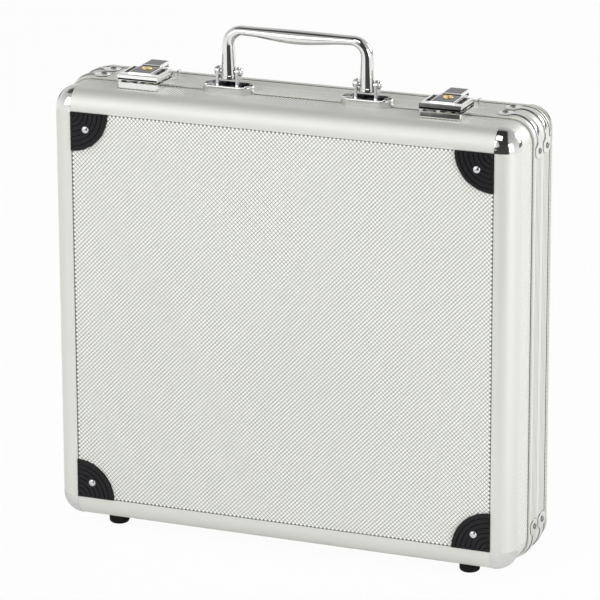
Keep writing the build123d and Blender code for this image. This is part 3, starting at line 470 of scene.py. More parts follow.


# Painted light and shade on the lattice sheet: one sheet is split into a light copy for the raised
# diamonds and dark copies for the ground between them. The dark ground is painted shade in the valleys.
# The ground on the band's top and bottom runs is painted darker than on its sides, as more painted
# shade.
sheet_painted_shade = sheet("lattice_sheet_painted_shade", (0.105, 0.107, 0.099), (0.18, 0.182, 0.172))
sheet_raised = sheet("lattice_sheet_raised", (0.94, 0.945, 0.905), (0.985, 0.99, 0.95), metallic=0.0)
band_raised = sheet("band_sheet_raised", (0.86, 0.865, 0.83), (0.94, 0.945, 0.91), metallic=0.35)
top_painted_shade = sheet("top_sheet_painted_shade", (0.30, 0.302, 0.29), (0.38, 0.382, 0.37))
band_painted_shade = sheet("band_sheet_painted_shade", (0.56, 0.563, 0.548), (0.64, 0.643, 0.628))
black_plastic = new_finish("moulded_black_plastic", "black_plastic", plastic_paint,
                           Specular_IOR_Level=0.22)
black_rubber = new_finish("matt_black_rubber", "black_rubber", rubber_paint, Specular_IOR_Level=0.18)
grey_foam = new_finish("open_cell_foam", "grey_foam", foam_paint, Specular_IOR_Level=0.15)
print("sheet, plastic, rubber and foam finishes made")


# %% [markdown]
# ## Camera
# The photograph was taken from the right and a little above with a long lens.
# The camera was fitted to the corners of the face, the seam and the feet, so
# its three turns and its distance are typed in as numbers.

# %% Camera
def add_camera():
    yaw, pitch, roll = 0.384759, 0.300531, -0.003927
    focal_pixels, photo_pixels = 4042.8, 600.0
    (cy, sy), (cp, sp), (cr, sr) = ((math.cos(a), math.sin(a)) for a in (yaw, pitch, roll))
    rows = (Matrix(((cr, 0, sr), (0, 1, 0), (-sr, 0, cr)))
            @ Matrix(((1, 0, 0), (0, cp, -sp), (0, sp, cp)))
            @ Matrix(((cy, sy, 0), (-sy, cy, 0), (0, 0, 1))))
    place = rows.transposed() @ Vector((16.109, -3093.23, 23.525)) + Vector((0, FRONT_Y, MIDDLE_Z))
    data = bpy.data.cameras.new("camera")
    data.lens = focal_pixels * data.sensor_width / photo_pixels
    camera = linked("camera", data)
    right, forward, up = rows
    turn = Matrix((right, up, -forward)).transposed()
    camera.matrix_world = Matrix.Translation(place * MM) @ turn.to_4x4()
    bpy.context.scene.camera = camera
    return camera


camera = add_camera()
print("camera at", [round(v, 3) for v in camera.location], "lens", round(camera.data.lens, 1))


# %% [markdown]
# ## Light and floor
# A product studio is a pale room with large soft lamps, and bright metal shows
# it: the long dark streaks on the handle are the dark end of the room behind
# the camera. A mirrored ray sees this room: pale walls, a dark strip in front, a
# low one behind and a small dark card above. A camera ray sees white, and all
# other rays an even sky. The floor is like a clear sheet over a white ground: it
# takes a soft shadow, and when the lid swings down past it, the lid can still be
# seen. Bright metal mirrors it as white, but close to the case as it is lit, so
# that the case's own shadow shows in the metal.

# %% Room
def blank_page(owner):
    """A world's or a material's node page with nothing on it."""
    owner.use_nodes = True
    owner.node_tree.nodes.clear()
    return Page(owner.node_tree)


def paint_world():
    world = bpy.data.worlds.new("pale_studio")
    bpy.context.scene.world = world
    page = blank_page(world)
    x, y, z = page.split(page.add("ShaderNodeTexCoord", out="Generated"))
    ahead = x * 0.38 - y * 0.93
    low = page.math("MAXIMUM", (z - 0.25) * -0.55, 0.0)
    aside = page.math("ABSOLUTE", x * 0.91 + y * 0.42 + low) - low
    strip = page.step(aside, 0.46, -9.0) * page.step(ahead, -0.50, 4.0) * page.step(z, -0.42, 6.0)
    behind = page.step(y, 0.35, 5.0) * page.step(z, -0.02, 30.0) * page.step(z, 0.22, -12.0)
    card = page.step(x * -0.50 + y * 0.10 + z * 0.86, 0.95, 60.0)
    dark = page.math("MAXIMUM", page.math("MAXIMUM", strip * 0.96, behind * 0.85), card * 0.85)
    walls = page.ramp(z, ((0.0, 0.97), (0.30, 0.80), (0.60, 0.60), (0.95, 0.45)))
    room = page.mix(dark, walls, grey(0.02))
    sky = page.ramp(z * 0.5 + 0.5, ((0.25, 0.26), (0.50, 0.80), (0.85, 0.25)))
    lean = page.ramp(ahead * 0.5 + 0.5, ((0.2, 0.88), (0.9, 1.24)))
    even = page.mix(1.0, sky, lean, blend_type="MULTIPLY")
    plain = page.mix(page.ray("Camera") + page.ray("Transmission"), even, grey(1.0))
    shade = page.mix(page.ray("Glossy"), plain, room)
    background = page.add("ShaderNodeBackground", {"Color": shade, "Strength": 1.0})
    page.add("ShaderNodeOutputWorld", {"Surface": background})


def add_lamp(name, place, target, size, power):
    data = bpy.data.lights.new(name, "AREA")
    data.shape = "RECTANGLE"
    data.size, data.size_y = size
    data.energy = power
    turn = (Vector(place) - Vector(target)).to_track_quat("Z", "Y").to_matrix().to_4x4()
    linked(name, data).matrix_world = Matrix.Translation(Vector(place)) @ turn


def add_floor():
    """Its front right part is left out, so that metal there mirrors the dark end of the room."""
    outline = ((-6, -3), (-0.42, -3), (-0.42, -0.9), (6, -0.9), (6, 6), (-6, 6))
    mesh = bpy.data.meshes.new("floor")
    mesh.from_pydata([(x, y, 0) for x, y in outline], [], [range(len(outline))])
    material = bpy.data.materials.new("pale_floor")
    mesh.materials.append(material)
    page = blank_page(material)
    seen = page.math("MINIMUM", page.ray("Camera") + page.ray("Transmission"), 1.0)
    passed = page.math("MAXIMUM", seen * 0.92, page.ray("Shadow"))
    x, y, _ = page.split(page.add("ShaderNodeTexCoord", out="Object"))
    open_ground = page.step(page.math("SQRT", x * x * 0.09 + y * y), 0.04, 7.0)
    surface = page.add("ShaderNodeBsdfDiffuse", {"Color": grey(0.92)})
    for share, kind, values in (
            (seen * 0.50, "Emission", {"Strength": 1.0}),
            (page.ray("Glossy") * open_ground * 0.90, "Emission", {"Strength": 1.06}),
            (passed, "BsdfTransparent", {})):
        light = page.add("ShaderNode" + kind, {"Color": grey(1.0), **values})
        surface = page.add("ShaderNodeMixShader", {0: share, 1: surface, 2: light})
    page.add("ShaderNodeOutputMaterial", {"Surface": surface})
    floor = linked("floor", mesh)


paint_world()
add_floor()
add_lamp("key_softbox", (-0.95, -1.5, 1.05), (0, 0, 0.25), (1.5, 1.2), 8.8)
add_lamp("side_softbox", (2.6, -1.2, 0.9), (0, 0, 0.2), (1.2, 1.6), 21.5)
add_lamp("small_softbox", (0.13, -0.86, 1.70), (0.1, 0, 0.35), (0.70, 0.70), 4.0)
add_lamp("back_softbox", (1.9, 2.5, 1.5), (0, 0, 0.2), (1.2, 1.2), 32.0)
bpy.context.scene.view_settings.view_transform = "Standard"
print("room, floor and four softboxes set")


# %% [markdown]
# ## The raised lattice
# The sheet on the faces and round the sides is rolled with small diamonds in
# staggered rows. A bump map would fake them, but their edges catch the light
# one by one, so they are real: Geometry Nodes lays out a grid, pushes every
# second row along by half a step, leaves out what the corner gussets cover, and
# puts a four-sided point on each place. One tree serves every strip, through
# named inputs for its sizes.

# %% Lattice tree
def new_tree(name, **inputs):
    """A Geometry Nodes page with the inputs named for each kind, and a wire from each input."""
    tree = bpy.data.node_groups.new(name, "GeometryNodeTree")
    for kind, labels in inputs.items():
        for label in labels.split():
            tree.interface.new_socket(label, in_out="INPUT", socket_type=f"NodeSocket{kind}")
    tree.interface.new_socket("Geometry", in_out="OUTPUT", socket_type="NodeSocketGeometry")
    page = Page(tree)
    given = page.add("NodeGroupInput").socket.node
    return page, [Wire(page, socket) for socket in given.outputs if socket.name]


def laid_out(page, points, shape, **more):
    """Puts a shape on every point and makes the copies real."""
    copies = page.add("GeometryNodeInstanceOnPoints", {"Points": points, "Instance": shape, **more})
    return page.add("GeometryNodeRealizeInstances", {"Geometry": copies})


def sent_out(page, geometry, finish):
    """Gives the geometry its finish and ends the tree with it."""
    dressed = page.add("GeometryNodeSetMaterial", {"Geometry": geometry, "Material": finish})
    page.add("NodeGroupOutput", {0: dressed})
    return page.tree


def lattice_tree():
    page, (width, height, pitch, row_pitch, share, relief, clear, right, up, finish) = new_tree(
        "raised_lattice", Float="Width Height Pitch RowPitch DiamondShare Relief CornerClear",
        Vector="Right Up", Material="Finish")
    columns = page.math("ROUND", width / pitch)
    rows = page.math("ROUND", height / row_pitch)
    grid = page.add("GeometryNodeMeshGrid", {
        "Size X": (columns - 1.0) * pitch, "Size Y": (rows - 1.0) * row_pitch,
        "Vertices X": columns, "Vertices Y": rows})
    x, y, _ = page.spot()
    row = page.math("ROUND", y / row_pitch + rows * 0.5 - 0.5)
    shift = (page.math("MODULO", row + 0.001, 2.0) > 0.5) * pitch * 0.5 - pitch * 0.25
    pushed = page.add("GeometryNodeSetPosition", {"Geometry": grid, "Offset": page.join(shift)})
    side = width * 0.5 - page.math("ABSOLUTE", x)
    level = height * 0.5 - page.math("ABSOLUTE", y)
    reach = page.math("SQRT", side * side + level * level)
    kept = page.add("GeometryNodeDeleteGeometry", {
        "Geometry": pushed, "Selection": reach < clear}, domain="POINT")
    point = page.add("GeometryNodeMeshCone", {
        "Vertices": 4, "Radius Top": 0.0, "Radius Bottom": 0.5, "Depth": 1.0}, fill_type="NONE")
    size = page.join(pitch * share, row_pitch * 2.0 * share, relief)
    diamond = page.add("GeometryNodeTransform", {"Geometry": point, "Scale": size})
    copies = laid_out(page, kept, diamond)
    outward = page.add("ShaderNodeVectorMath", {0: right, 1: up}, operation="CROSS_PRODUCT")
    place = None
    for way, far in zip((right, up, outward), page.spot()):
        arm = page.add("ShaderNodeVectorMath", {0: way, "Scale": far}, operation="SCALE")
        place = page.add("ShaderNodeVectorMath", {0: place, 1: arm}, operation="ADD") if place else arm
    stood = page.add("GeometryNodeSetPosition", {"Geometry": copies, "Position": place})
    return sent_out(page, stood, finish)


lattice = lattice_tree()
print("lattice tree has", len(lattice.nodes), "nodes")


# %% Lattice strips
def grown(tree, **inputs):
    """The plain mesh that a tree makes out of nothing."""
    return applied(bpy.data.meshes.new("empty"), "NODES", inputs, node_group=tree)


def lattice_mesh(middle, right, up, size, share=0.86, relief=0.42, clear=0.0):
    """A strip of lattice about a middle, all in millimetres."""
    mesh = grown(lattice, Width=size[0] * MM, Height=size[1] * MM, Pitch=3.3 * MM, RowPitch=1.7 * MM,
                 DiamondShare=share, Relief=relief * MM, CornerClear=clear * MM,
                 Right=right, Up=up, Finish=sheet_raised)
    mesh.transform(Matrix.Translation(Vector(middle) * MM))
    return mesh


def joined(meshes):
    bm = bmesh.new()
    for mesh in meshes:
        bm.from_mesh(mesh)
    return as_mesh(bm)


def add_lattices(half, out, skin, low, high):
    """Lattice on a half's face, and round its sides between two depths."""
    width, height = 2 * HALF_WIDTH, 2 * HALF_HEIGHT
    face = (width - 0.6, height - 0.6)
    mesh = lattice_mesh((0, at(skin), MIDDLE_Z), (-out, 0, 0), (0, 0, 1), face, clear=30.0)
    piece = add_piece(f"{half}_face_lattice", mesh, sheet_raised, half)
    middle, wide = at((low + high) / 2), high - low - 0.2
    strips = []
    for side in (-1, 1):
        x, z = side * (HALF_WIDTH + BAND_OUTER), MIDDLE_Z + side * (HALF_HEIGHT + BAND_OUTER)
        strips += [lattice_mesh((0, middle, z), (side, 0, 0), (0, 1, 0), (width, wide),
                                share=0.80, relief=0.40),
                   lattice_mesh((x, middle, MIDDLE_Z), (0, side, 0), (0, 0, 1), (wide, height))]
    band = add_piece(f"{half}_band_lattice", joined(strips), band_raised, half)
    print(half, "lattice faces:", len(piece.data.polygons), "and", len(band.data.polygons))


add_lattices("base", -1, PANEL_RECESS, EDGE_RADIUS, SEAM - RIM_WIDTH)
add_lattices("lid", 1, CASE_DEPTH - PANEL_RECESS, SEAM + RIM_WIDTH, CASE_DEPTH - EDGE_RADIUS)
# The panels under the face lattice take the dark ground finish: painted shade between the diamonds.
repaint(("base_panel", "lid_panel"), sheet_painted_shade)


# %% [markdown]
# ## Shell metalwork
# The extrusions have one section all along, so each is a prism of that section.
# The side band and the closing rims run right round the case, so their sections
# are swept round a rectangle with round corners. The rims are drawn with fine
# grooves along their length, which show as the thin lines on the photograph.
# The faces of these grooves are painted darker, as painted shade, and the lid's
# rim has a deeper groove painted black, as a painted shadow gap.

# %% Sweep round the case
def sweep_ring(bm, profile):
    """Sweeps a closed outline of (offset, depth) points round the panel's outline."""
    rows = []
    for offset, depth in profile:
        x, z = HALF_WIDTH + offset, HALF_HEIGHT + offset
        rows.append(round_rect((-x, x), (-z, z), [offset] * 4, depth, CORNER_STEPS))
    add_rings(bm, rows + rows[:1], caps=False)


def paint_faces(piece, finishes, choose):
    """Adds finishes; choose takes a face's middle in millimetres and gives a finish's number."""
    for finish in finishes:
        piece.data.materials.append(finish)
    for face in piece.data.polygons:
        face.material_index = int(choose(*(value / MM for value in face.center)))


def add_side_band(half, low, high):
    """The band's flat runs are lattice sheet whose ground is painted dark as painted shade, darker on
    the top and bottom runs than on the sides, and its round corners are smooth.
    """
    section = [(BAND_OUTER, low), (BAND_OUTER, high), (BAND_INNER, high), (BAND_INNER, low)]
    band = show(f"{half}_side_band", solid(lambda bm: sweep_ring(bm, section)), satin_round)
    # Painted shade: the ground on the flat runs is dark, and darker on the top and bottom runs.
    paint_faces(band, (band_painted_shade, top_painted_shade),
                lambda x, y, z: 2 if abs(x) < HALF_WIDTH else abs(z - MIDDLE_Z) < HALF_HEIGHT)


def rim_section(painted_gap):
    """Outline of the front half's rim: lip, a deeper groove whose faces are painted black as a painted
    shadow gap, four fine grooves, tongue and seat.
    """
    low, neck, lip, tongue, foot, seat = SEAM - RIM_WIDTH, 17.4, 18.6, 11.0, SEAM - 12.0, SEAM - 5.6
    outer = [(BAND_OUTER, low + 2.0), (neck, low + 2.0), (neck, low + 0.15), (lip, low),
             (RIM_OUTER, low + 0.4)]
    if painted_gap:
        outer += [(RIM_OUTER, low + 0.7), (RIM_OUTER - 1.2, low + 0.8), (RIM_OUTER - 1.2, low + 2.2),
                  (RIM_OUTER, low + 2.3)]
    for groove in (43.2, 46.2, 49.2, 52.2):
        outer += [(RIM_OUTER, groove - 0.5), (RIM_OUTER - 0.45, groove - 0.3),
                  (RIM_OUTER - 0.45, groove + 0.3), (RIM_OUTER, groove + 0.5)]
    return outer + [(RIM_OUTER, SEAM - 0.35), (RIM_OUTER - 0.35, SEAM), (tongue, SEAM), (tongue, foot),
                    (BAND_INNER, foot), (BAND_INNER, seat), (BAND_OUTER, seat)]


def beyond_panel(x, z):
    """How far a point lies outside the panel's outline."""
    return math.hypot(max(abs(x) - HALF_WIDTH, 0), max(abs(z - MIDDLE_Z) - HALF_HEIGHT, 0))


def add_rim(half):
    """The lid's rim has a deeper groove painted black, a painted shadow gap. The fine grooves are
    painted a little darker, as painted shade.
    """
    painted_gap = half == "lid"

    def choose(x, y, z):
        """1 is the deeper groove, 15 to 17 mm from the seam, painted black as a painted shadow gap, and
        2 the fine grooves between it and the seam, painted darker as painted shade.
        """
        offset, depth = beyond_panel(x, z), abs(y - at(SEAM))
        if painted_gap and offset > 17.5 and 15.1 < depth < 16.8:
            return 1
        return 2 if 18.3 < offset < RIM_OUTER - 0.15 and 2.0 < depth < 14.0 else 0

    def build(bm):
        sweep_ring(bm, rim_section(painted_gap))

    rim = solid(mirrored(build, 1, at(SEAM)) if painted_gap else build)
    # Painted shadow and shade: the lid rim's deeper groove is black, and the fine grooves are darker.
    paint_faces(show(f"{half}_rim", rim, satin_round), (black_plastic, band_painted_shade), choose)


def edge_outline():
    """Section of the edge extrusion as (offset, depth)."""
    outside = [(0.0, 0.25), (0.25, 0.0)]
    outside += arc_points((EDGE_FLAT, EDGE_RADIUS), EDGE_RADIUS, -90, 0, CORNER_STEPS)
    return outside + [(EDGE_FOOT, EDGE_RADIUS), (EDGE_FOOT, EDGE_SEAT), (0.0, EDGE_SEAT)]


def edges_along_x(bm):
    prism(bm, [(at(d), PANEL_TOP + o) for o, d in edge_outline()], "x", -HALF_WIDTH, HALF_WIDTH)


def edges_along_z(bm):
    outline = [(HALF_WIDTH + o, at(d)) for o, d in edge_outline()]
    prism(bm, outline, "z", MIDDLE_Z - HALF_HEIGHT, PANEL_TOP)


add_side_band("base", EDGE_RADIUS - 2.2, SEAM - 5.8)
add_side_band("lid", SEAM + 5.8, CASE_DEPTH - EDGE_RADIUS + 2.2)
add_rim("base")
add_rim("lid")
both_halves("edge_top", edges_along_x, satin_x)
both_halves("edge_bottom", mirrored(edges_along_x, 2, MIDDLE_Z), satin_x)
both_halves("edge_right", edges_along_z, satin_z)
both_halves("edge_left", mirrored(edges_along_z, 0), satin_z)
print("extrusions, bands and rims built")


# %% [markdown]
# ## Corners
# The ball corner is the extrusion's section turned a quarter about the panel's
# corner, polished, and a hair proud. The gusset is a quadrant with eight ribs
# about the same corner: its ribs are in the turned profile, so its straight
# ends show them as a row of scallops, as on the real moulding.

# %% Ball corners and gussets
def four_corners(bm):
    """Adds the mirror images of a corner's shape at the other three corners."""
    for axis, middle in ((0, 0.0), (2, MIDDLE_Z)):
        found = bmesh.ops.duplicate(bm, geom=bm.verts[:] + bm.edges[:] + bm.faces[:])
        flip([item for item in found["geom"] if isinstance(item, bmesh.types.BMVert)], axis, middle)


def ball_corner(bm):
    proud = 0.3
    profile = [(AXIS, proud)] + arc_points((EDGE_FLAT, -EDGE_RADIUS), EDGE_RADIUS + proud, 90, 0, 20)
    profile += [(EDGE_FOOT, -EDGE_RADIUS), (EDGE_FOOT, -EDGE_SEAT), (AXIS, -EDGE_SEAT)]
    turn = Matrix(((1, 0, 0), (0, 0, -1), (0, 1, 0)))
    lathe(bm, profile, (HALF_WIDTH, FRONT_Y, PANEL_TOP), turn, arc=90)
    four_corners(bm)


def gusset(bm):
    ribs, reach, foot, crest = 8, 30.7, -PANEL_RECESS, 1.5
    profile = [(AXIS, foot), (AXIS, crest)]
    for rib in range(1, ribs):
        groove = reach / ribs * rib
        profile += [(groove - 0.75, crest), (groove - 0.32, crest - 0.22),
                    (groove, crest - 0.85), (groove + 0.32, crest - 0.22), (groove + 0.75, crest)]
    profile += [(reach - 0.9, crest), (reach - 0.25, crest - 0.3), (reach, crest - 0.9), (reach, foot)]
    turn = Matrix(((-1, 0, 0), (0, 0, -1), (0, -1, 0)))
    lathe(bm, profile, (HALF_WIDTH - 0.3, FRONT_Y, PANEL_TOP - 0.3), turn, steps=30, arc=90)
    boss = [(AXIS, crest), (3.0, crest), (3.3, crest + 0.12), (3.8, crest + 0.12), (4.1, crest - 0.2),
            (4.1, foot), (AXIS, foot)]
    seat = (HALF_WIDTH - GUSSET_RIVET, FRONT_Y, PANEL_TOP - GUSSET_RIVET)
    lathe(bm, boss, seat, facing((0, -1, 0)), steps=28)
    four_corners(bm)


both_halves("ball_corners", ball_corner, chrome)
both_halves("gussets", gusset, black_plastic)
print("corners built")


# %% [markdown]
# ## Rivets
# All rivets are the same domed head, set down on different faces. Geometry
# Nodes makes the dome once from half a sphere, and puts it on every point of a
# small mesh that only lists places. Each point carries an arrow that says which
# way its head faces.

# %% Rivet tree
def rivet_tree():
    page, (places, radius, height, finish) = new_tree(
        "domed_rivets", Geometry="Places", Float="Radius Height", Material="Finish")
    ball = page.add("GeometryNodeMeshUVSphere", {"Segments": 20, "Rings": 12, "Radius": 1.0})
    dome = page.add("GeometryNodeDeleteGeometry", {
        "Geometry": ball, "Selection": page.spot()[2] < -0.3}, domain="POINT")
    arrow = page.add("GeometryNodeInputNamedAttribute", {"Name": "facing"}, data_type="FLOAT_VECTOR")
    turn = page.add("FunctionNodeAlignRotationToVector", {"Vector": arrow}, axis="Z")
    heads = laid_out(page, places, dome, Rotation=turn, Scale=page.join(radius, radius, height))
    return sent_out(page, heads, finish)


rivets = rivet_tree()


def add_rivets(node, places, radius, finish):
    """Domed heads at (place, facing) pairs."""
    mesh = bpy.data.meshes.new("places")
    mesh.from_pydata([Vector(place) * MM for place, _ in places], [], [])
    arrows = mesh.attributes.new("facing", "FLOAT_VECTOR", "POINT")
    for item, (_, arrow) in zip(arrows.data, places):
        item.vector = arrow
    sizes = {"Radius": radius * MM, "Height": 1.3 * MM, "Finish": finish}
    heads = applied(mesh, "NODES", sizes, node_group=rivets)
    heads.shade_smooth()
    show(node, heads, finish)


def corner_places(x, z, depth, arrow):
    """A place at the top right corner and its three mirror images."""
    return [((side * x, at(depth), MIDDLE_Z + level * (z - MIDDLE_Z)),
             (side * arrow[0], arrow[1], level * arrow[2])) for side in (-1, 1) for level in (-1, 1)]


for half, depth, out in (("base", -1.5, -1), ("lid", CASE_DEPTH + 1.5, 1)):
    heads = corner_places(HALF_WIDTH - GUSSET_RIVET, PANEL_TOP - GUSSET_RIVET, depth, (0, out, 0))
    add_rivets(f"{half}_gusset_rivets", heads, 2.95, plated)
    middle, inset, lift = SEAM + out * RIM_WIDTH / 2, 7.6, RIM_OUTER + 1.0
    heads = corner_places(HALF_WIDTH - inset, PANEL_TOP + lift, middle, (0, 0, 1))
    heads += corner_places(HALF_WIDTH + lift, PANEL_TOP - inset, middle, (1, 0, 0))
    # The strap rivets take the nickel painted dark, a painted reflection.
    add_rivets(f"{half}_strap_rivets", heads, 2.6, dark_nickel_reflection)
print("rivets set")


# %% [markdown]
# ## Corner straps
# A strap is pressed from bright strip. It is narrow where it bends round the
# corner and ends in a wide tab with round shoulders on each side. The same
# outline, in lengths along the bend, is laid first on the top tab, then round
# the bend, then down the side tab. Its low side walls, next to the rim, are
# painted dark chrome: painted shade under its edges.

# %% Strap
STRAP_BEND = math.pi / 2 * RIM_OUTER
STRAP_TAB = 13.0


def strap_half_width(s):
    """Half width at a length along the strap, measured from the bend's start."""
    narrow, wide, end, shoulder = 3.25, 8.0, 1.2, 4.5
    outside = max(-s, s - STRAP_BEND, 0.0)
    if outside < shoulder:
        share = outside / shoulder
        return narrow + (wide - narrow) * share * share * (3 - 2 * share)
    left = max(outside - (STRAP_TAB - shoulder), 0.0) / shoulder
    return end + (wide - end) * math.sqrt(max(1.0 - left * left, 0.0))


def strap(bm):
    """The section is drawn as (share of the half width, lift off the rim)."""
    edge = [(1.0, 0.0), (1.0, 0.45), (0.92, 0.72), (0.7, 0.92), (0.35, 1.0)]
    section = [(-share, lift) for share, lift in edge] + edge[::-1]
    lengths = [-STRAP_TAB + 0.5 * i for i in range(26)]
    lengths += [STRAP_BEND * i / 14 for i in range(15)]
    lengths += [STRAP_BEND + 0.5 * i for i in range(1, 27)]
    rings = []
    for s in lengths:
        angle = min(max(s / RIM_OUTER, 0.0), math.pi / 2)
        before, after = min(s, 0.0), max(s - STRAP_BEND, 0.0)
        rings.append([(HALF_WIDTH + (RIM_OUTER + lift) * math.sin(angle) + before,
                       at(SEAM - RIM_WIDTH / 2) + strap_half_width(s) * share,
                       PANEL_TOP + (RIM_OUTER + lift) * math.cos(angle) - after)
                      for share, lift in section])
    add_rings(bm, rings)
    four_corners(bm)


for straps in both_halves("corner_straps", strap, chrome, mirror_y=at(SEAM)):
    # Painted shade: the strap's low side walls, next to the rim, are dark chrome.
    paint_faces(straps, [smoked_and_shade], lambda x, y, z: beyond_panel(x, z) < RIM_OUTER + 0.55)
print("straps built")


# %% [markdown]
# ## Feet
# The feet are turned rubber buttons with a soft lower edge and a sunk screw.

# %% Feet
def add_feet(half, depth, seat):
    hole, radius, round_edge, foot_x = 3.4, 8.0, 2.6, 148.0
    profile = [(AXIS, 3.0), (hole, 3.0), (hole, 0.4), (hole + 0.4, 0.0)]
    profile += arc_points((radius - round_edge, round_edge), round_edge, -90, 0, 6)
    profile += [(radius, seat - 0.6), (radius - 0.4, seat), (AXIS, seat)]

    def build(bm):
        for side in (-1, 1):
            lathe(bm, profile, (side * foot_x, at(depth), 0), steps=36)

    show(f"{half}_feet", solid(build), black_rubber)


add_feet("base", 24.0, 9.7)
add_feet("lid", 65.75, 7.5)
repaint(("base_foot_screws", "lid_foot_screws", "handle_backing_plates", "latch_rivets", "catch_rivets",
         "lever_pins", "hinge_pins", "base_hinge_rivets", "lid_hinge_rivets", "hook_pin_left",
         "hook_pin_right", "lock_cam_left", "lock_cam_right"), plated)
print("feet built")


# %% [markdown]
# ## Handle
# The handle is one bright casting: two straight legs, an easy bend and a grip
# that swells downwards. It is drawn as a row of ovals along its middle line,
# each square to the way the line runs. Many ovals make the long reflections
# run smoothly.

# %% Handle
HANDLE_DEPTH = 40.0
HANDLE_Y = at(HANDLE_DEPTH)
PIVOT_X = 56.75
PIVOT_Z = 373.5
BAR_Z = 406.3
BEND = 12.0
LEG_FOOT = PIVOT_Z - 5.6
LEG_DEEP = 9.6
LEG_THICK = 12.0


def oval_ring(place, turn, deep, thick, count=36):
    along = Vector((-math.sin(turn), 0, math.cos(turn)))
    across = Vector((0, 1, 0))
    other = along.cross(across)
    middle = Vector((place[0], HANDLE_Y, place[1]))
    return [middle + across * (deep / 2 * math.cos(a)) + other * (thick / 2 * math.sin(a))
            for a in (2 * math.pi * step / count for step in range(count))]


def handle_rings():
    """Ovals from the right leg's end, over the grip, to the left leg's end."""
    end_x, bend_z = PIVOT_X - BEND, BAR_Z - BEND
    right = [((PIVOT_X, LEG_FOOT + (bend_z - LEG_FOOT) * i / 8), 0.0, LEG_DEEP, LEG_THICK - 2.0 * i / 8)
             for i in range(9)]
    for i in range(1, 14):
        share = i / 14
        turn = math.pi / 2 * share
        place = (end_x + BEND * math.cos(turn), bend_z + BEND * math.sin(turn))
        right.append((place, turn, LEG_DEEP + 0.4 * share, LEG_THICK - 2.0 - 2.6 * share))
    grip = []
    for i in range(33):
        x = end_x * (1 - i / 16)
        swell = math.cos(x / end_x * math.pi / 2) ** 2
        grip.append(((x, BAR_Z - 1.4 * swell), math.pi / 2, 10.0 + 2.0 * swell, 7.4 + 3.6 * swell))
    left = [((-x, z), math.pi - turn, deep, thick) for (x, z), turn, deep, thick in reversed(right)]
    return [oval_ring(*item) for item in right + grip + left]


def handle_build(bm):
    """The casting, with a thin collar round the foot of each leg."""
    add_rings(bm, handle_rings())
    for side in (-1, 1):
        add_rings(bm, [oval_ring((side * PIVOT_X, PIVOT_Z + dz), 0.0, LEG_DEEP + grow, LEG_THICK + grow)
                       for dz, grow in ((-5.6, 0.4), (-5.2, 1.0), (-3.0, 1.0), (-2.6, 0.4))])


show("handle", solid(handle_build), chrome)
print("handle built")


# %% [markdown]
# ## Handle brackets
# Each bracket is a long oval cup pressed from bright sheet, with two ears that
# hold the leg between them. A pin with domed ends passes through both, and two
# cross-head screws go down through the floor of the cup.

# %% Bracket
EAR_INNER = 6.8
EAR_OUTER = 9.4
EAR_RADIUS = 3.8
CUP_FLOOR = TOP + 3.0


def cup_ring(x, length, width, z):
    """An oval with straight sides about the bracket's middle."""
    half = (length - width) / 2
    right = arc_points((x + half, HANDLE_Y), width / 2, -90, 90, 16)
    left = arc_points((x - half, HANDLE_Y), width / 2, 90, 270, 16)
    return [(a, b, TOP + z) for a, b in right + left]


def ear_build(bm, x):
    foot = [(5.2, CUP_FLOOR), (4.2, TOP + 4.6), (EAR_RADIUS, TOP + 7.0)]
    outline = [(HANDLE_Y - half, z) for half, z in foot]
    outline += arc_points((HANDLE_Y, PIVOT_Z), EAR_RADIUS, 180, 0, 12)
    outline += [(HANDLE_Y + half, z) for half, z in reversed(foot)]
    for side in (-1, 1):
        prism(bm, outline, "x", *sorted((x + side * EAR_INNER, x + side * EAR_OUTER)))


def add_bracket(label, x):
    """The cup is drawn as (length, width, height) loops, and its floor and inner walls between the
    screws are painted dark chrome, as painted shade in the recess.
    """
    loops = [(42.0, 17.5, -0.7), (42.0, 17.5, 4.7), (42.0, 17.5, 4.9), (41.6, 17.1, 5.3),
             (41.0, 16.5, 5.5), (39.6, 15.1, 5.5), (39.0, 14.5, 5.2), (38.8, 14.3, 4.6),
             (38.6, 14.1, 3.2), (38.0, 13.5, 3.0)]

    def middle(a, b, c):
        reach = math.hypot(max(abs(a - x) - 12.25, 0.0), b - HANDLE_Y)
        return reach < 7.6 and abs(a - x) < 13.0 and c > TOP + 2.5

    cup = solid(lambda bm: add_rings(bm, [cup_ring(x, *loop) for loop in loops]))
    # Painted shade in the recess: the cup's floor and its inner walls along the straight sides are dark
    # chrome.
    paint_faces(show(f"handle_bracket_{label}", cup, chrome), [smoked_and_shade], middle)
    ears = solid(lambda bm: ear_build(bm, x), soften=0.5, segments=3)
    add_piece(f"handle_bracket_ears_{label}", ears, plated, "base")


def dome_points(radius, base, height, steps):
    """Profile of a low dome, from its edge to its top on the axis."""
    turns = [math.radians(90 * step / steps) for step in range(steps)]
    side = [(radius * math.cos(a), base + height * math.sin(a)) for a in turns]
    return side + [(AXIS, base + height)]


def pivot_build(bm):
    knob = [(AXIS, 0.0), (3.0, 0.0), (3.2, 0.3)] + dome_points(3.2, 0.5, 1.9, 8)
    pin = [(AXIS, -EAR_OUTER), (1.8, -EAR_OUTER), (1.8, EAR_OUTER), (AXIS, EAR_OUTER)]
    for middle in (-PIVOT_X, PIVOT_X):
        for side in (-1, 1):
            lathe(bm, knob, (middle + side * EAR_OUTER, HANDLE_Y, PIVOT_Z), facing((side, 0, 0)))
        lathe(bm, pin, (middle, HANDLE_Y, PIVOT_Z), facing((1, 0, 0)), steps=20)


add_bracket("left", -PIVOT_X)
add_bracket("right", PIVOT_X)
show("handle_pivot_pins", solid(pivot_build), chrome)
print("brackets and pivots built")


# %% Cross-head screws
SCREW_PLACES = [middle + side * 15.8 for middle in (-PIVOT_X, PIVOT_X) for side in (-1, 1)]


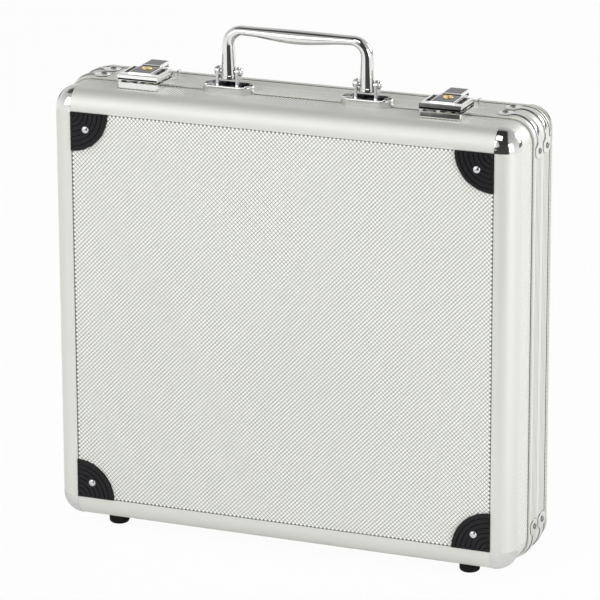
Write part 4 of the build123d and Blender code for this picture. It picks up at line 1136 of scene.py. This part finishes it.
def screw_domes(bm):
    dome = [(AXIS, -1.0), (3.5, -1.0), (3.6, 0.0)] + dome_points(3.6, 0.3, 1.8, 7)
    for x in SCREW_PLACES:
        lathe(bm, dome, (x, HANDLE_Y, CUP_FLOOR), steps=28)


def block(bm, x, half, depths, heights):
    """Block about an x, between two depths and two heights above the case's top."""
    (y0, y1), (z0, z1) = map(at, depths), (TOP + height for height in heights)
    prism(bm, [(x - half, y0), (x + half, y0), (x + half, y1), (x - half, y1)], "z", z0, z1)


def crosses(bm):
    """A bar along x and two short ones beside it make each cross."""
    arm, slot = 1.9, 0.42
    for x in SCREW_PLACES:
        for half, low, high in ((arm, -slot, slot), (slot, -arm, -slot), (slot, slot, arm)):
            block(bm, x, half, (HANDLE_DEPTH + low, HANDLE_DEPTH + high), (3.6, 6.0))


def bracket_screws():
    """The crosses are cut out of the domes with the Boolean modifier."""
    cutter = linked("cutter", solid(crosses))
    screws = applied(solid(screw_domes), "BOOLEAN", operation="DIFFERENCE", object=cutter,
                     solver="EXACT")
    bpy.data.objects.remove(cutter)
    return screws


show("handle_bracket_screws", bracket_screws(), plated)
print("screws built")


# %% [markdown]
# ## Latches
# A latch is a small machine of pressed sheet: a tray riveted to the case, a
# lever with a skirt, and a hook that draws the lid's catch in. Their solids are
# right already, so copies of them get eased edges. The lever also gets its
# skirt, the fine ribs on its wings and dark chrome plates on its raised middle
# and its wings, and the hook gets a dark plate on its top, which is painted
# shade. The lever and the hook are in a lighter copy of the chrome, a painted
# highlight.

# %% Latch bodies
def softened(node, finish, soften):
    """A CAD node's own shape with its flats joined and its edges eased."""
    def build(bm):
        bm.from_mesh(frame["nodes"][node].data)
        bmesh.ops.scale(bm, vec=(1 / MM, 1 / MM, 1 / MM), verts=bm.verts)
        bmesh.ops.remove_doubles(bm, verts=bm.verts, dist=4 * WELD)
        bmesh.ops.dissolve_limit(bm, angle_limit=math.radians(1.0), verts=bm.verts, edges=bm.edges)

    show(node, solid(build, soften), finish)


def add_key_rim(label):
    low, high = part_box(f"key_cylinder_{label}")
    place = ((low[0] + high[0]) / 2 / MM, (low[1] + high[1]) / 2 / MM, high[2] / MM)
    bead = [(3.0, -0.1), (3.15, 0.25), (3.5, 0.4), (3.85, 0.25), (4.0, -0.1)]
    rim = solid(lambda bm: lathe(bm, bead, place, steps=36))
    add_piece(f"key_rim_{label}", rim, brass, f"key_{label}")


for label in ("left", "right"):
    for name, finish, soften in (("latch_base", chrome, 0.3), ("latch_lever", painted_bright_chrome, 0.25),
                                 ("latch_hook", painted_bright_chrome, 0.3), ("latch_catch", chrome, 0.3),
                                 ("key_cylinder", brass, 0.15)):
        softened(f"{name}_{label}", finish, soften)
    add_key_rim(label)
for half in ("base", "lid"):
    softened(f"{half}_hinge_leaves", plated, 0.2)
print("latches, keys and hinge leaves eased")


# %% Rib tree
def rib_tree():
    """A row of equal ribs, each a bar with its top corners cut."""
    page, (count, pitch, width, length, height, finish) = new_tree(
        "fine_ribs", Int="Count", Float="Pitch Width Length Height", Material="Finish")
    start = page.join((count - 1.0) * pitch * -0.5)
    line = page.add("GeometryNodeMeshLine", {
        "Count": count, "Start Location": start, "Offset": page.join(pitch)})
    bar = page.add("GeometryNodeMeshCone", {
        "Vertices": 4, "Radius Top": 0.30, "Radius Bottom": 0.7071, "Depth": 1.0}, fill_type="NGON")
    turned = page.add("GeometryNodeTransform", {"Geometry": bar, "Rotation": (0, 0, math.pi / 4)})
    size = page.join(width, length, height)
    sized = page.add("GeometryNodeTransform", {"Geometry": turned, "Scale": size})
    return sent_out(page, laid_out(page, line, sized), finish)


ribs = rib_tree()
LATCH_X = 123.4
WING_X = 12.2


def wing_ribs(x):
    strips = []
    for wing in (-WING_X, WING_X):
        mesh = grown(ribs, Count=5, Pitch=0.92 * MM, Width=0.62 * MM, Length=18.6 * MM,
                     Height=0.60 * MM, Finish=smoked_and_shade)
        mesh.transform(Matrix.Translation(Vector((x + wing, at(34.15), TOP + 10.4)) * MM))
        strips.append(mesh)
    return joined(strips)


def dress_latch(label, x):
    """Skirt, ribs and dark chrome plates of one latch, from blocks of (x, half width, depths, heights).
    The hook's dark plate is painted shade on its top.
    """
    def blocks(soften, *sizes):
        return solid(lambda bm: [block(bm, *size) for size in sizes], soften)

    side, skirt, wing = 16.1, (6.8, 8.6), (10.2, 10.45)
    skirts = blocks(0.25, (x, 16.7, (17.3, 18.6), skirt), (x - side, 0.6, (18.3, 44.0), skirt),
                    (x + side, 0.6, (18.3, 44.0), skirt))
    plates = blocks(0.12, (x, 8.4, (23.1, 40.4), (12.3, 12.62)), (x - WING_X, 2.3, (24.7, 43.6), wing),
                    (x + WING_X, 2.3, (24.7, 43.6), wing))
    # Painted shade: the hook's top gets a dark plate.
    hook_plate = blocks(0.12, (x, 6.7, (45.6, 60.4), (13.4, 13.72)))
    add_piece(f"lever_skirt_{label}", skirts, painted_bright_chrome, f"lever_{label}")
    add_piece(f"lever_wing_ribs_{label}", wing_ribs(x), smoked_and_shade, f"lever_{label}")
    add_piece(f"lever_smoked_plates_{label}", plates, smoked_and_shade, f"lever_{label}")
    add_piece(f"hook_plate_painted_shade_{label}", hook_plate, smoked_and_shade, f"hook_{label}")


dress_latch("left", -LATCH_X)
dress_latch("right", LATCH_X)
print("latches dressed")


# %% [markdown]
# ## Foam
# The inside is soft, so nothing there stays as a plain block. The pocket foam
# is built cell by cell: each cell is a ring between a straight outline and a
# pocket with round corners, and its rim rolls over as cut foam does. The lid's
# pad is convoluted foam, whose rows of soft bumps hold the receivers.

# %% Pocket foam
FOAM_EDGE = 10.7
FOAM_X = HALF_WIDTH + FOAM_EDGE
FOAM_Z = HALF_HEIGHT + FOAM_EDGE


def foam_cell(bm, column, row):
    """One cell: up its outside, over the rolled rim as (inset, drop), and down its pocket."""
    top, floor, pitch_x, pitch_z, half_w, half_h, corner = 50.0, 13.9, 84.5, 150.0, 36.25, 69.0, 7.0
    mid_x, mid_z = (column - 1.5) * pitch_x, (row - 0.5) * pitch_z
    x = (-FOAM_X if column == 0 else mid_x - pitch_x / 2,
         FOAM_X if column == 3 else mid_x + pitch_x / 2)
    z = (-FOAM_Z if row == 0 else 0.0, FOAM_Z if row == 1 else 0.0)
    radii = [FOAM_EDGE if (column, row) == corner_cell else AXIS
             for corner_cell in ((3, 1), (0, 1), (0, 0), (3, 0))]
    rings = [round_rect(x, z, radii, floor), round_rect(x, z, radii, top - 1.0)]
    for inset, drop in ((3.2, 0.15), (2.0, 0.0), (1.2, 0.12), (0.5, 0.5), (0.12, 1.1), (0.0, 2.0),
                        (0.0, top - floor)):
        rings.append(round_rect((mid_x - half_w - inset, mid_x + half_w + inset),
                                (mid_z - half_h - inset, mid_z + half_h + inset),
                                [corner + inset] * 4, top - drop))
    add_rings(bm, rings, caps=False)


def pocket_foam(bm):
    for column in range(4):
        for row in range(2):
            foam_cell(bm, column, row)


pocket_piece = show("foam_pockets", solid(pocket_foam), grey_foam)
print("pocket foam faces:", len(pocket_piece.data.polygons))


# %% Foam sheet and convoluted lid pad
def pad_grid(bm, back_depth, depth_at, spacing):
    """A closed pad: a grid whose skin at one face follows depth_at, with a flat back."""
    columns, rows = round(2 * FOAM_X / spacing), round(2 * FOAM_Z / spacing)
    skin, back = [], []
    for j in range(rows + 1):
        skin.append([])
        back.append([])
        for i in range(columns + 1):
            x = -FOAM_X + 2 * FOAM_X * i / columns
            z = -FOAM_Z + 2 * FOAM_Z * j / rows
            far_x, far_z = abs(x) - HALF_WIDTH, abs(z) - HALF_HEIGHT
            if far_x > 0 and far_z > 0:
                scale = max(far_x, far_z) / math.hypot(far_x, far_z)
                x = math.copysign(HALF_WIDTH + far_x * scale, x)
                z = math.copysign(HALF_HEIGHT + far_z * scale, z)
            ease = min(min(i, j, columns - i, rows - j) / 3.0, 1.0)
            skin[j].append((x, at(depth_at(x, z, ease)), MIDDLE_Z + z))
            back[j].append((x, at(back_depth), MIDDLE_Z + z))
    rims = [grid[0][:-1] + [row[-1] for row in grid[:-1]]
            + grid[-1][:0:-1] + [row[0] for row in grid[:0:-1]] for grid in (skin, back)]
    for rings, closed in ((skin, False), (back, False), (rims, True)):
        add_rings(bm, rings, closed, caps=False)


def convoluted(x, z, ease):
    """Depth of the lid pad's skin, which has rows of soft bumps."""
    pitch, crest, relief = 28.0, 70.9, 7.5
    wave = 0.5 + 0.5 * math.cos(2 * math.pi * x / pitch) * math.cos(2 * math.pi * z / pitch)
    return crest + relief * (1.0 - ease * wave)


def eased_sheet(x, z, ease):
    """Depth of the foam sheet's skin, which is a little lower round its edge."""
    return 13.6 - 0.5 * (1 - ease)


lid_pad = show("lid_foam", solid(lambda bm: pad_grid(bm, 90.6, convoluted, 2.8)), grey_foam)
sheet_piece = show("foam_sheet", solid(lambda bm: pad_grid(bm, 5.9, eased_sheet, 12.0)), grey_foam)
print("foam built")
